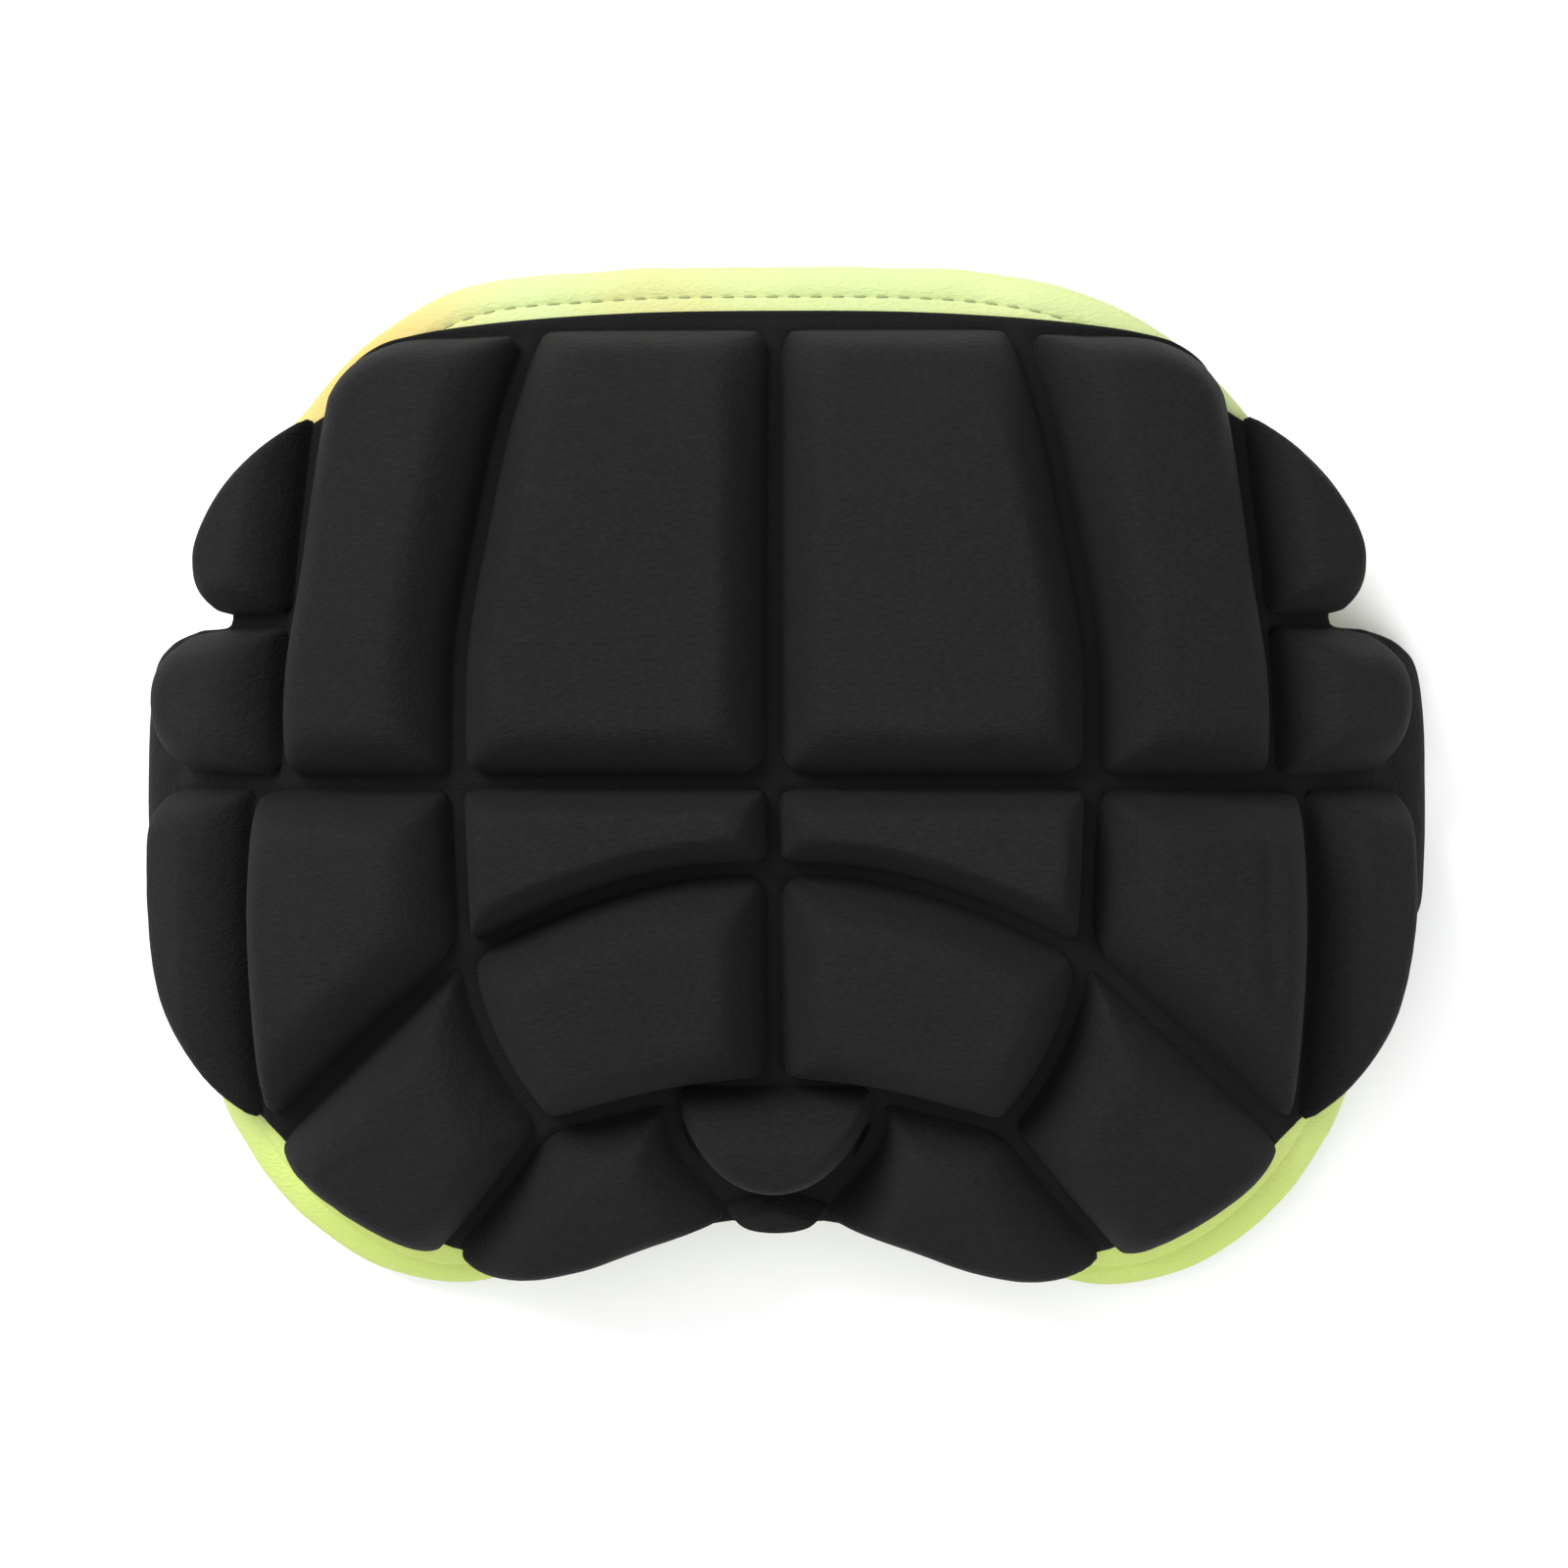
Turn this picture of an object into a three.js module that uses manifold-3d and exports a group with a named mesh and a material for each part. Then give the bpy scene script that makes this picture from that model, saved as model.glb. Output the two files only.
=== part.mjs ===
// Tailbone pad: raised foam blocks on one bent black sheet, over a lime lining with a bound edge.
// It lies outer face up on its two flank tabs: +X to the right, +Y to the waist edge, +Z up, millimetres.
// Every piece is drawn flat, as a distance across and along the sheet, and is then bent with the sheet.
import * as THREE from "three";
import { mergeVertices } from "three/addons/utils/BufferGeometryUtils.js";
import Module from "manifold-3d";

const wasm = await Module();
wasm.setup();

// Reach of the sheet, measured along it from the middle of the waist groove
const HALF_WRAP = 176;
const WAIST_REACH = 126;
const SEAT_REACH = 136;

// How far the sheet has turned from level at each of those ends, in degrees, and how late it turns
const SIDE_TURN = 67.5;
const SIDE_EASE = 2.3;
const WAIST_TURN = 17;
const WAIST_EASE = 2;
const SEAT_TURN = 50;
const SEAT_EASE = 1.8;
const CORNER_RELIEF = 1.15; // 1 adds both drops at a corner, more lets the corner flare

// Walls, foam and clearances
const BACKING_WALL = 2.5;
const LINING_WALL = 3;
const BINDING_WIDTH = 8;
const BINDING_WALL = 4;
const FOAM = 18;
const SHOULDER = 11; // from a block's foot in to its level top
const CROWN = 1.6;
const GROOVE = 5;
const SEAT_GAP = 0.35;
const FLAT_TRIM = 2; // taken off the tabs' edges, so that they stand flat

// Fineness of the meshes
const BEND_STEPS = 60;
const BLOCK_POINTS = 26;
const RIM_POINTS = 88;
const ACROSS_PANELS = 10;
const WAIST_PANELS = 4;
const SEAT_PANELS = 7;
const PANEL_CLOSING = 0.62; // draws the panel lines together where the sheet turns most
const PANEL_MARGIN = 1.06;

const BLACK = { color: 0x1e1e20, roughness: 0.9, metalness: 0 };
const LIME = { color: 0xd4ec7c, roughness: 0.8, metalness: 0 };

// Meeting points of the grooves: across as a share of HALF_WRAP, along as a share of
// WAIST_REACH above the waist groove and of SEAT_REACH below it
const POINTS = {
  top_middle: { across: 0, along: 0.86 },
  top_inner: { across: 0.326, along: 0.86 },
  inner_high: { across: 0.365, along: 0.69 },
  inner_mid: { across: 0.397, along: 0.48 },
  inner_low: { across: 0.426, along: 0.246 },
  top_outer: { across: 0.416, along: 0.853 },
  shoulder_a: { across: 0.5, along: 0.84 },
  shoulder_b: { across: 0.565, along: 0.795 },
  shoulder_c: { across: 0.608, along: 0.73 },
  outer_high: { across: 0.629, along: 0.675 },
  outer_mid: { across: 0.661, along: 0.373 },
  outer_low: { across: 0.681, along: 0.19 },
  waist_middle: { across: 0, along: -0.009 },
  waist_inner: { across: 0.429, along: -0.009 },
  waist_outer: { across: 0.683, along: -0.009 },
  wing_tip: { across: 0.632, along: 0.715 },
  wing_a: { across: 0.704, along: 0.65 },
  wing_b: { across: 0.763, along: 0.57 },
  wing_c: { across: 0.806, along: 0.465 },
  wing_d: { across: 0.818, along: 0.38 },
  wing_e: { across: 0.794, along: 0.302 },
  neck_inner: { across: 0.668, along: 0.302 },
  knob_top: { across: 0.834, along: 0.298 },
  knob_out: { across: 0.884, along: 0.235 },
  knob_side: { across: 0.897, along: 0.12 },
  knob_low: { across: 0.856, along: 0.0 },
  strip_in: { across: 0.726, along: -0.009 },
  strip_mid: { across: 0.736, along: -0.246 },
  strip_tip: { across: 0.72, along: -0.645 },
  strip_top: { across: 0.9, along: -0.009 },
  strip_out: { across: 0.903, along: -0.27 },
  strip_turn: { across: 0.871, along: -0.43 },
  strip_low: { across: 0.805, along: -0.55 },
  hip_side: { across: 0.422, along: -0.23 },
  crossing: { across: 0.419, along: -0.305 },
  arch_middle: { across: 0, along: -0.157 },
  arch_a: { across: 0.13, along: -0.168 },
  arch_b: { across: 0.265, along: -0.217 },
  sacrum_a: { across: 0.411, along: -0.37 },
  sacrum_b: { across: 0.391, along: -0.45 },
  sacrum_c: { across: 0.358, along: -0.535 },
  sacrum_foot: { across: 0.313, along: -0.618 },
  tail_side: { across: 0.141, along: -0.56 },
  tail_middle: { across: 0, along: -0.537 },
  thigh_tip: { across: 0.708, along: -0.652 },
  thigh_a: { across: 0.664, along: -0.725 },
  thigh_b: { across: 0.601, along: -0.79 },
  thigh_c: { across: 0.529, along: -0.845 },
  thigh_foot: { across: 0.461, along: -0.885 },
  lobe_a: { across: 0.416, along: -0.908 },
  lobe_b: { across: 0.34, along: -0.918 },
  lobe_c: { across: 0.254, along: -0.895 },
  lobe_d: { across: 0.167, along: -0.85 },
  lobe_e: { across: 0.055, along: -0.797 },
  slot_a: { across: 0.076, along: -0.745 },
  slot_b: { across: 0.112, along: -0.692 },
  slot_c: { across: 0.14, along: -0.63 },
  dome_top: { across: 0.14, along: -0.531 },
  dome_a: { across: 0.137, along: -0.6 },
  dome_b: { across: 0.106, along: -0.672 },
  dome_c: { across: 0.059, along: -0.716 },
  dome_d: { across: 0, along: -0.732 },
  lip_side: { across: 0.084, along: -0.768 },
  lip_top: { across: 0, along: -0.725 },
  lip_low: { across: 0.049, along: -0.806 },
  lip_foot: { across: 0, along: -0.818 },
};

// A block's outline runs clockwise from point to point. Its foam and shoulder are shares of
// FOAM and SHOULDER, and its ridge is the line that its top rises to
const BLOCKS = [
  {
    name: "upper_inner",
    ridge: [{ across: 0.205, along: 0.2 }, { across: 0.175, along: 0.66 }],
    foam: 1,
    shoulder: 1,
    outline: ["top_middle", "top_inner", "inner_high", "inner_mid", "inner_low", "waist_inner", "waist_middle"],
  },
  {
    name: "upper_outer",
    ridge: [{ across: 0.554, along: 0.17 }, { across: 0.495, along: 0.66 }],
    foam: 1,
    shoulder: 1,
    outline: [
      "top_inner", "top_outer", "shoulder_a", "shoulder_b", "shoulder_c", "outer_high", "outer_mid",
      "outer_low", "waist_outer", "waist_inner", "inner_low", "inner_mid", "inner_high",
    ],
  },
  {
    name: "wing",
    ridge: [{ across: 0.711, along: 0.52 }, { across: 0.739, along: 0.42 }],
    foam: 0.78,
    shoulder: 0.62,
    outline: ["wing_tip", "wing_a", "wing_b", "wing_c", "wing_d", "wing_e", "neck_inner"],
  },
  {
    name: "side_knob",
    ridge: [{ across: 0.77, along: 0.16 }, { across: 0.79, along: 0.13 }],
    foam: 0.85,
    shoulder: 1,
    outline: ["neck_inner", "knob_top", "knob_out", "knob_side", "knob_low", "waist_outer"],
  },
  {
    name: "side_strip",
    ridge: [{ across: 0.815, along: -0.13 }, { across: 0.804, along: -0.36 }],
    foam: 0.72,
    shoulder: 0.8,
    outline: ["strip_in", "strip_top", "strip_out", "strip_turn", "strip_low", "strip_tip", "strip_mid"],
  },
  {
    name: "hip",
    ridge: [{ across: 0.557, along: -0.164 }, { across: 0.614, along: -0.3 }],
    foam: 1,
    shoulder: 1,
    outline: ["waist_inner", "strip_in", "strip_mid", "strip_tip", "crossing", "hip_side"],
  },
  {
    name: "band",
    ridge: [{ across: 0.13, along: -0.093 }, { across: 0.33, along: -0.125 }],
    foam: 0.85,
    shoulder: 0.55,
    outline: ["waist_middle", "waist_inner", "hip_side", "crossing", "arch_b", "arch_a", "arch_middle"],
  },
  {
    name: "sacrum",
    ridge: [{ across: 0.13, along: -0.36 }, { across: 0.25, along: -0.42 }],
    foam: 1,
    shoulder: 1,
    outline: [
      "arch_middle", "arch_a", "arch_b", "crossing", "sacrum_a", "sacrum_b", "sacrum_c", "sacrum_foot",
      "tail_side", "tail_middle",
    ],
  },
  {
    name: "thigh",
    ridge: [{ across: 0.45, along: -0.56 }, { across: 0.54, along: -0.66 }],
    foam: 0.9,
    shoulder: 1,
    outline: [
      "crossing", "thigh_tip", "thigh_a", "thigh_b", "thigh_c", "thigh_foot", "sacrum_foot", "sacrum_c",
      "sacrum_b", "sacrum_a",
    ],
  },
  {
    name: "lobe",
    ridge: [{ across: 0.205, along: -0.724 }, { across: 0.3, along: -0.776 }],
    foam: 0.8,
    shoulder: 0.85,
    outline: [
      "tail_side", "sacrum_foot", "thigh_foot", "lobe_a", "lobe_b", "lobe_c", "lobe_d", "lobe_e",
      "slot_a", "slot_b", "slot_c",
    ],
  },
];

// The two blocks on the middle line, drawn on one side and mirrored into one outline
const MIDDLE_BLOCKS = [
  {
    name: "tailbone_dome",
    ridge: [{ across: -0.04, along: -0.625 }, { across: 0.04, along: -0.625 }],
    foam: 1.1,
    shoulder: 0.72,
    outline: ["dome_top", "dome_a", "dome_b", "dome_c", "dome_d"],
  },
  {
    name: "tail_lip",
    ridge: [{ across: -0.012, along: -0.771 }, { across: 0.012, along: -0.771 }],
    foam: 0.3,
    shoulder: 0.2,
    outline: ["lip_top", "lip_side", "lip_low", "lip_foot"],
  },
];

// Edge of the black sheet, from the waist edge round one flank tab to the tail
const SHEET_EDGE = [
  { across: 0, along: 0.893 },
  { across: 0.2, along: 0.889 },
  { across: 0.389, along: 0.871 },
  { across: 0.49, along: 0.845 },
  { across: 0.535, along: 0.826 },
  { across: 0.577, along: 0.778 },
  { across: 0.606, along: 0.71 },
  { across: 0.697, along: 0.648 },
  { across: 0.763, along: 0.565 },
  { across: 0.802, along: 0.46 },
  { across: 0.808, along: 0.38 },
  { across: 0.782, along: 0.3 },
  { across: 0.856, along: 0.285 },
  { across: 0.935, along: 0.262 },
  { across: 0.99, along: 0.21 },
  { across: 1.004, along: 0.12 },
  { across: 1.004, along: -0.15 },
  { across: 0.99, along: -0.235 },
  { across: 0.945, along: -0.285 },
  { across: 0.912, along: -0.34 },
  { across: 0.874, along: -0.43 },
  { across: 0.805, along: -0.545 },
  { across: 0.71, along: -0.645 },
  { across: 0.658, along: -0.722 },
  { across: 0.591, along: -0.787 },
  { across: 0.517, along: -0.842 },
  { across: 0.43, along: -0.893 },
  { across: 0.34, along: -0.915 },
  { across: 0.254, along: -0.897 },
  { across: 0.162, along: -0.85 },
  { across: 0.076, along: -0.818 },
  { across: 0, along: -0.82 },
];

// Outer edge of the lime binding, in the same order
const RIM_EDGE = [
  { across: 0, along: 0.991 },
  { across: 0.216, along: 0.986 },
  { across: 0.335, along: 0.968 },
  { across: 0.432, along: 0.938 },
  { across: 0.535, along: 0.872 },
  { across: 0.616, along: 0.785 },
  { across: 0.691, along: 0.675 },
  { across: 0.756, along: 0.575 },
  { across: 0.797, along: 0.47 },
  { across: 0.803, along: 0.38 },
  { across: 0.797, along: 0.3 },
  { across: 0.852, along: 0.25 },
  { across: 0.925, along: 0.215 },
  { across: 0.975, along: 0.15 },
  { across: 0.992, along: 0.06 },
  { across: 0.992, along: -0.1 },
  { across: 0.974, along: -0.18 },
  { across: 0.925, along: -0.235 },
  { across: 0.888, along: -0.33 },
  { across: 0.87, along: -0.45 },
  { across: 0.843, along: -0.565 },
  { across: 0.783, along: -0.69 },
  { across: 0.709, along: -0.81 },
  { across: 0.618, along: -0.92 },
  { across: 0.536, along: -0.985 },
  { across: 0.458, along: -1.008 },
  { across: 0.389, along: -0.985 },
  { across: 0.324, along: -0.93 },
  { across: 0.238, along: -0.875 },
  { across: 0.13, along: -0.83 },
  { across: 0, along: -0.812 },
];

// A block's section from its foot up: inset as a share of its shoulder, rise as a share of its foam
const SECTION = [
  { inset: 0.1, rise: 0.4 },
  { inset: 0.38, rise: 0.76 },
  { inset: 1, rise: 1 },
];
const TOP_RING = 0.5; // the ring between a block's shoulder and its middle
const FOOT_ROUNDING = 22; // a high power keeps the outline's corners, a low one rounds them
const TOP_ROUNDING = 11;
const CORNER_TURN = 33; // degrees between two sides that make them a corner, not a curve

// Section of the binding: out as a share of its width, up as a share of its wall
const BINDING_SECTION = [
  { out: 0, up: 0 },
  { out: 0.8, up: 0 },
  { out: 1, up: -0.35 },
  { out: 0.9, up: -0.85 },
  { out: 0.6, up: -1 },
  { out: 0, up: -0.9 },
];

// Level distance and drop after a length along a bend that turns more and more
function bend(length, reach, turn, ease) {
  const step = length / BEND_STEPS;
  let level = 0;
  let drop = 0;
  for (let i = 0; i < BEND_STEPS; i++) {
    const angle = THREE.MathUtils.degToRad(turn) * (((i + 0.5) * step) / reach) ** ease;
    level += Math.cos(angle) * step;
    drop += Math.sin(angle) * step;
  }
  return { level, drop };
}

function bendAcross(across) {
  return bend(Math.abs(across), HALF_WRAP, SIDE_TURN, SIDE_EASE);
}

function bendAlong(along) {
  return along < 0
    ? bend(-along, SEAT_REACH, SEAT_TURN, SEAT_EASE)
    : bend(along, WAIST_REACH, WAIST_TURN, WAIST_EASE);
}

const CREST = bendAcross(HALF_WRAP).drop - FLAT_TRIM;

// The sheet's inner face, bent: the point that lies across and along it
function sheetPoint(across, along) {
  const side = bendAcross(across);
  const end = bendAlong(along);
  const drop = (side.drop ** CORNER_RELIEF + end.drop ** CORNER_RELIEF) ** (1 / CORNER_RELIEF);
  return new THREE.Vector3(Math.sign(across) * side.level, Math.sign(along) * end.level, CREST - drop);
}

// The same point lifted off the inner face, square to it
function liftedPoint(across, along, lift) {
  const probe = 0.05;
  const right = sheetPoint(across + probe, along).sub(sheetPoint(across - probe, along));
  const up = sheetPoint(across, along + probe).sub(sheetPoint(across, along - probe));
  return sheetPoint(across, along).addScaledVector(right.cross(up).normalize(), lift);
}

function flatPoint(row) {
  const reach = row.along < 0 ? SEAT_REACH : WAIST_REACH;
  return new THREE.Vector2(row.across * HALF_WRAP, row.along * reach);
}

function mirrored(points) {
  return points.map((p) => new THREE.Vector2(-p.x, p.y)).reverse();
}

// A mesh from rings of as many points each, closed with a point at either end or with a ring's loop
function ringMesh(rings, first, last) {
  const count = rings[0].length;
  const points = rings.flat();
  const faces = [];
  for (let r = 0; r + 1 < rings.length; r++) {
    for (let i = 0; i < count; i++) {
      const a = r * count + i;
      const b = r * count + ((i + 1) % count);
      faces.push(a, b, b + count, a, b + count, a + count);
    }
  }
  const start = (rings.length - 1) * count;
  for (let i = 0; i < count; i++) {
    const next = (i + 1) % count;
    faces.push(points.length, next, i);
    faces.push(points.length + 1, start + i, start + next);
  }
  points.push(first, last);
  return geometry(points, faces);
}

function geometry(points, faces) {
  const made = new THREE.BufferGeometry().setFromPoints(points);
  made.setIndex(faces);
  return made;
}

// Cuts with the solid library: closed meshes in, one closed mesh out
function solid(shape) {
  const bare = shape.clone();
  bare.deleteAttribute("normal");
  bare.deleteAttribute("uv");
  const merged = mergeVertices(bare, 1e-4);
  const mesh = new wasm.Mesh({
    numProp: 3,
    vertProperties: merged.attributes.position.array,
    triVerts: new Uint32Array(merged.index.array),
  });
  return new wasm.Manifold(mesh);
}

function subtract(shape, cutter) {
  const mesh = solid(shape).subtract(solid(cutter)).getMesh();
  const made = new THREE.BufferGeometry();
  made.setAttribute("position", new THREE.BufferAttribute(mesh.vertProperties, 3));
  made.setIndex(new THREE.BufferAttribute(mesh.triVerts, 1));
  return made;
}

// Lines that divide the sheet into panels, closer where it turns more
function closingLines(reach, count) {
  return Array.from({ length: count }, (_, i) => reach * PANEL_MARGIN * ((i + 1) / count) ** PANEL_CLOSING);
}

function panelLines() {
  const right = closingLines(HALF_WRAP, ACROSS_PANELS);
  const seat = closingLines(SEAT_REACH, SEAT_PANELS);
  const waist = Array.from({ length: WAIST_PANELS }, (_, i) => (WAIST_REACH * PANEL_MARGIN * (i + 1)) / WAIST_PANELS);
  return {
    across: [...right.map((x) => -x).reverse(), 0, ...right],
    along: [...seat.map((y) => -y).reverse(), 0, ...waist],
  };
}

const LINES = panelLines();

// The part of an outline on one side of a line x = at or y = at
function clip(outline, axis, at, keepAbove) {
  const kept = [];
  const inside = (p) => (keepAbove ? p[axis] >= at : p[axis] <= at);
  outline.forEach((a, i) => {
    const b = outline[(i + 1) % outline.length];
    if (inside(a)) kept.push(a);
    if (inside(a) !== inside(b)) {
      const crossing = a.clone().lerp(b, (at - a[axis]) / (b[axis] - a[axis]));
      crossing[axis] = at;
      kept.push(crossing);
    }
  });
  return kept;
}

// A point on the sheet's flat panels: between the four lifted corners of the panel that holds it
function panelPoint(p, lift) {
  const i = panelIndex(LINES.across, p.x);
  const j = panelIndex(LINES.along, p.y);
  const [x0, x1] = [LINES.across[i], LINES.across[i + 1]];
  const [y0, y1] = [LINES.along[j], LINES.along[j + 1]];
  const u = (p.x - x0) / (x1 - x0);
  const low = liftedPoint(x0, y0, lift).lerp(liftedPoint(x1, y0, lift), u);
  const high = liftedPoint(x0, y1, lift).lerp(liftedPoint(x1, y1, lift), u);
  return low.lerp(high, (p.y - y0) / (y1 - y0));
}

function panelIndex(lines, at) {
  const next = lines.findIndex((line) => line > at);
  return next < 0 ? lines.length - 2 : Math.max(next - 1, 0);
}

// An outline's flat triangles, none of which crosses a panel line
function flatTriangles(outline) {
  const triangles = [];
  for (let i = 0; i + 1 < LINES.across.length; i++) {
    const strip = clip(clip(outline, "x", LINES.across[i], true), "x", LINES.across[i + 1], false);
    for (let j = 0; j + 1 < LINES.along.length; j++) {
      const cell = clip(clip(strip, "y", LINES.along[j], true), "y", LINES.along[j + 1], false);
      const corners = cell.filter((p, k) => p.distanceTo(cell[(k + 1) % cell.length]) > 1e-6);
      if (corners.length < 3) continue;
      for (const face of THREE.ShapeUtils.triangulateShape(corners, [])) {
        triangles.push(face.map((k) => corners[k]));
      }
    }
  }
  return triangles;
}

// A bent sheet between two lifts, within an outline
function sheet(outline, low, high) {
  const keys = new Map();
  const flat = [];
  const index = (p) => {
    const key = p.x.toFixed(4) + " " + p.y.toFixed(4);
    if (!keys.has(key)) keys.set(key, flat.push(p) - 1);
    return keys.get(key);
  };
  const faces = flatTriangles(outline)
    .map((t) => t.map(index))
    .filter(([a, b, c]) => a !== b && b !== c && c !== a);
  const count = flat.length;
  const points = [high, low].flatMap((lift) => flat.map((p) => panelPoint(p, lift)));
  const edges = new Set(faces.flatMap(([a, b, c]) => [`${a} ${b}`, `${b} ${c}`, `${c} ${a}`]));
  const all = faces.flatMap(([a, b, c]) => [a, b, c, a + count, c + count, b + count]);
  for (const edge of edges) {
    const [a, b] = edge.split(" ").map(Number);
    if (!edges.has(`${b} ${a}`)) all.push(b, a, a + count, b, a + count, b + count);
  }
  return geometry(points, all);
}

function wholeSheet(low, high) {
  const across = LINES.across.at(-1);
  const corners = [
    new THREE.Vector2(-across, LINES.along[0]),
    new THREE.Vector2(across, LINES.along[0]),
    new THREE.Vector2(across, LINES.along.at(-1)),
    new THREE.Vector2(-across, LINES.along.at(-1)),
  ];
  return sheet(corners, low, high);
}

// A smooth closed outline through a table of one side's edge
function smoothEdge(rows) {
  const right = rows.map(flatPoint);
  const left = mirrored(right.slice(1, -1));
  const nodes = [...right, ...left].map((p) => new THREE.Vector3(p.x, p.y, 0));
  const curve = new THREE.CatmullRomCurve3(nodes, true, "centripetal");
  curve.arcLengthDivisions = 800;
  const points = curve.getSpacedPoints(RIM_POINTS).slice(0, -1);
  return points.map((p) => new THREE.Vector2(p.x, p.y)).reverse();
}

// An anticlockwise outline moved outwards, or inwards where the distance is negative
function moved(outline, distance) {
  return outline.map((p, i) => {
    const before = outline.at(i - 1);
    const after = outline[(i + 1) % outline.length];
    const along = after.clone().sub(before).normalize();
    return new THREE.Vector2(p.x + along.y * distance, p.y - along.x * distance);
  });
}

// A block's sides, in runs between its corners: a run swells outwards or, where it is hollow, inwards
function sideRuns(outline) {
  const sides = outline.map((a, i) => {
    const b = outline[(i + 1) % outline.length];
    const along = b.clone().sub(a).normalize();
    return { point: a, along, out: new THREE.Vector2(along.y, -along.x) };
  });
  const turn = (i) => sides.at(i - 1).along.cross(sides[i].along);
  const corner = Math.sin(THREE.MathUtils.degToRad(CORNER_TURN));
  const first = sides.findIndex((_, i) => turn(i) > corner);
  const runs = [];
  sides.forEach((_, k) => {
    const i = (first + k) % sides.length;
    if (turn(i) > corner) runs.push({ sides: [], swell: 0 });
    else runs.at(-1).swell += turn(i);
    runs.at(-1).sides.push(sides[i]);
  });
  return runs;
}

// How far a ray goes inside the outline, held in from each side by an inset
function rayLength(from, ray, runs, inset, power) {
  let sum = 0;
  for (const { sides, swell } of runs) {
    const nearness = sides.map((side) => {
      const clear = side.point.clone().sub(from).dot(side.out) - inset;
      return clear > 0 ? Math.max(ray.dot(side.out), 0) / clear : Infinity;
    });
    const nearest = swell < 0 ? Math.min(...nearness) : Math.max(...nearness);
    sum += nearest ** power;
  }
  return sum ** (-1 / power);
}

// Rays square out from a block's ridge, to points evenly spaced along its foot
function ridgeRays(ridge, runs) {
  const fine = 360;
  const middle = ridge[0].clone().lerp(ridge[1], 0.5);
  const feet = Array.from({ length: fine }, (_, i) => {
    const ray = new THREE.Vector2(1, 0).rotateAround(new THREE.Vector2(), (2 * Math.PI * i) / fine);
    const reach = rayLength(middle, ray, runs, GROOVE / 2, FOOT_ROUNDING);
    return middle.clone().addScaledVector(ray, reach);
  });
  const curve = new THREE.SplineCurve([...feet, feet[0]]);
  curve.arcLengthDivisions = fine;
  const along = ridge[1].clone().sub(ridge[0]);
  return curve.getSpacedPoints(BLOCK_POINTS).slice(0, -1).map((foot) => {
    const share = foot.clone().sub(ridge[0]).dot(along) / along.lengthSq();
    const from = ridge[0].clone().addScaledVector(along, THREE.MathUtils.clamp(share, 0, 1));
    return { from, ray: foot.sub(from).normalize() };
  });
}

// One raised foam block, seated just clear of the black sheet
function block(row, outline, seat) {
  const runs = sideRuns(outline);
  const ridge = row.ridge.map(flatPoint);
  const spokes = ridgeRays(ridge, runs);
  const base = BACKING_WALL + SEAT_GAP;
  const foam = row.foam * FOAM;
  const shoulder = row.shoulder * SHOULDER;
  const ring = (inset, lift, power, share = 1) =>
    spokes.map(({ from, ray }) => {
      const reach = share * rayLength(from, ray, runs, GROOVE / 2 + inset, power);
      return liftedPoint(from.x + ray.x * reach, from.y + ray.y * reach, lift);
    });
  const sunk = -BACKING_WALL;
  const rings = [
    ring(0, sunk, FOOT_ROUNDING),
    ...SECTION.map(({ inset, rise }) =>
      ring(inset * shoulder, base + rise * foam, THREE.MathUtils.lerp(FOOT_ROUNDING, TOP_ROUNDING, inset)),
    ),
    ring(shoulder, base + foam + CROWN * (1 - TOP_RING ** 2), TOP_ROUNDING, TOP_RING),
  ];
  const middle = ridge[0].clone().lerp(ridge[1], 0.5);
  const foot = liftedPoint(middle.x, middle.y, sunk);
  const top = liftedPoint(middle.x, middle.y, base + foam + CROWN);
  return subtract(ringMesh(rings, foot, top), seat);
}

function blockOutline(names) {
  return names.map((name) => flatPoint(POINTS[name])).reverse();
}

// The same block on the other side of the middle line
function mirroredBlock(shape) {
  const made = shape.clone().scale(-1, 1, 1);
  made.setIndex(Array.from(made.index.array).reverse());
  return made;
}

function blockPair(row, seat) {
  const right = block(row, blockOutline(row.outline), seat);
  return [named(row.name + "_r", right, BLACK), named(row.name + "_l", mirroredBlock(right), BLACK)];
}

function middleBlock(row, seat) {
  const right = blockOutline(row.outline);
  const left = mirrored(right).filter((p) => p.x < 0);
  return named(row.name, block(row, [...right, ...left], seat), BLACK);
}

// The binding: a rounded tape swept round the lining's edge
function binding(inner) {
  const top = -SEAT_GAP;
  const rings = BINDING_SECTION.map(({ out, up }) =>
    moved(inner, SEAT_GAP + out * (BINDING_WIDTH - SEAT_GAP)).map((p) => panelPoint(p, top + up * BINDING_WALL)),
  );
  const count = inner.length;
  const faces = [];
  rings.forEach((_, r) => {
    const next = (r + 1) % rings.length;
    for (let i = 0; i < count; i++) {
      const j = (i + 1) % count;
      faces.push(r * count + i, next * count + i, next * count + j);
      faces.push(r * count + i, next * count + j, r * count + j);
    }
  });
  return geometry(rings.flat(), faces);
}

function named(name, shape, look) {
  const mesh = new THREE.Mesh(shape, new THREE.MeshStandardMaterial(look));
  mesh.name = name;
  return mesh;
}

// Everything under the level that the tabs stand on
function floor() {
  const size = 4 * HALF_WRAP;
  return new THREE.BoxGeometry(size, size, size).translate(0, 0, -size / 2);
}

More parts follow.
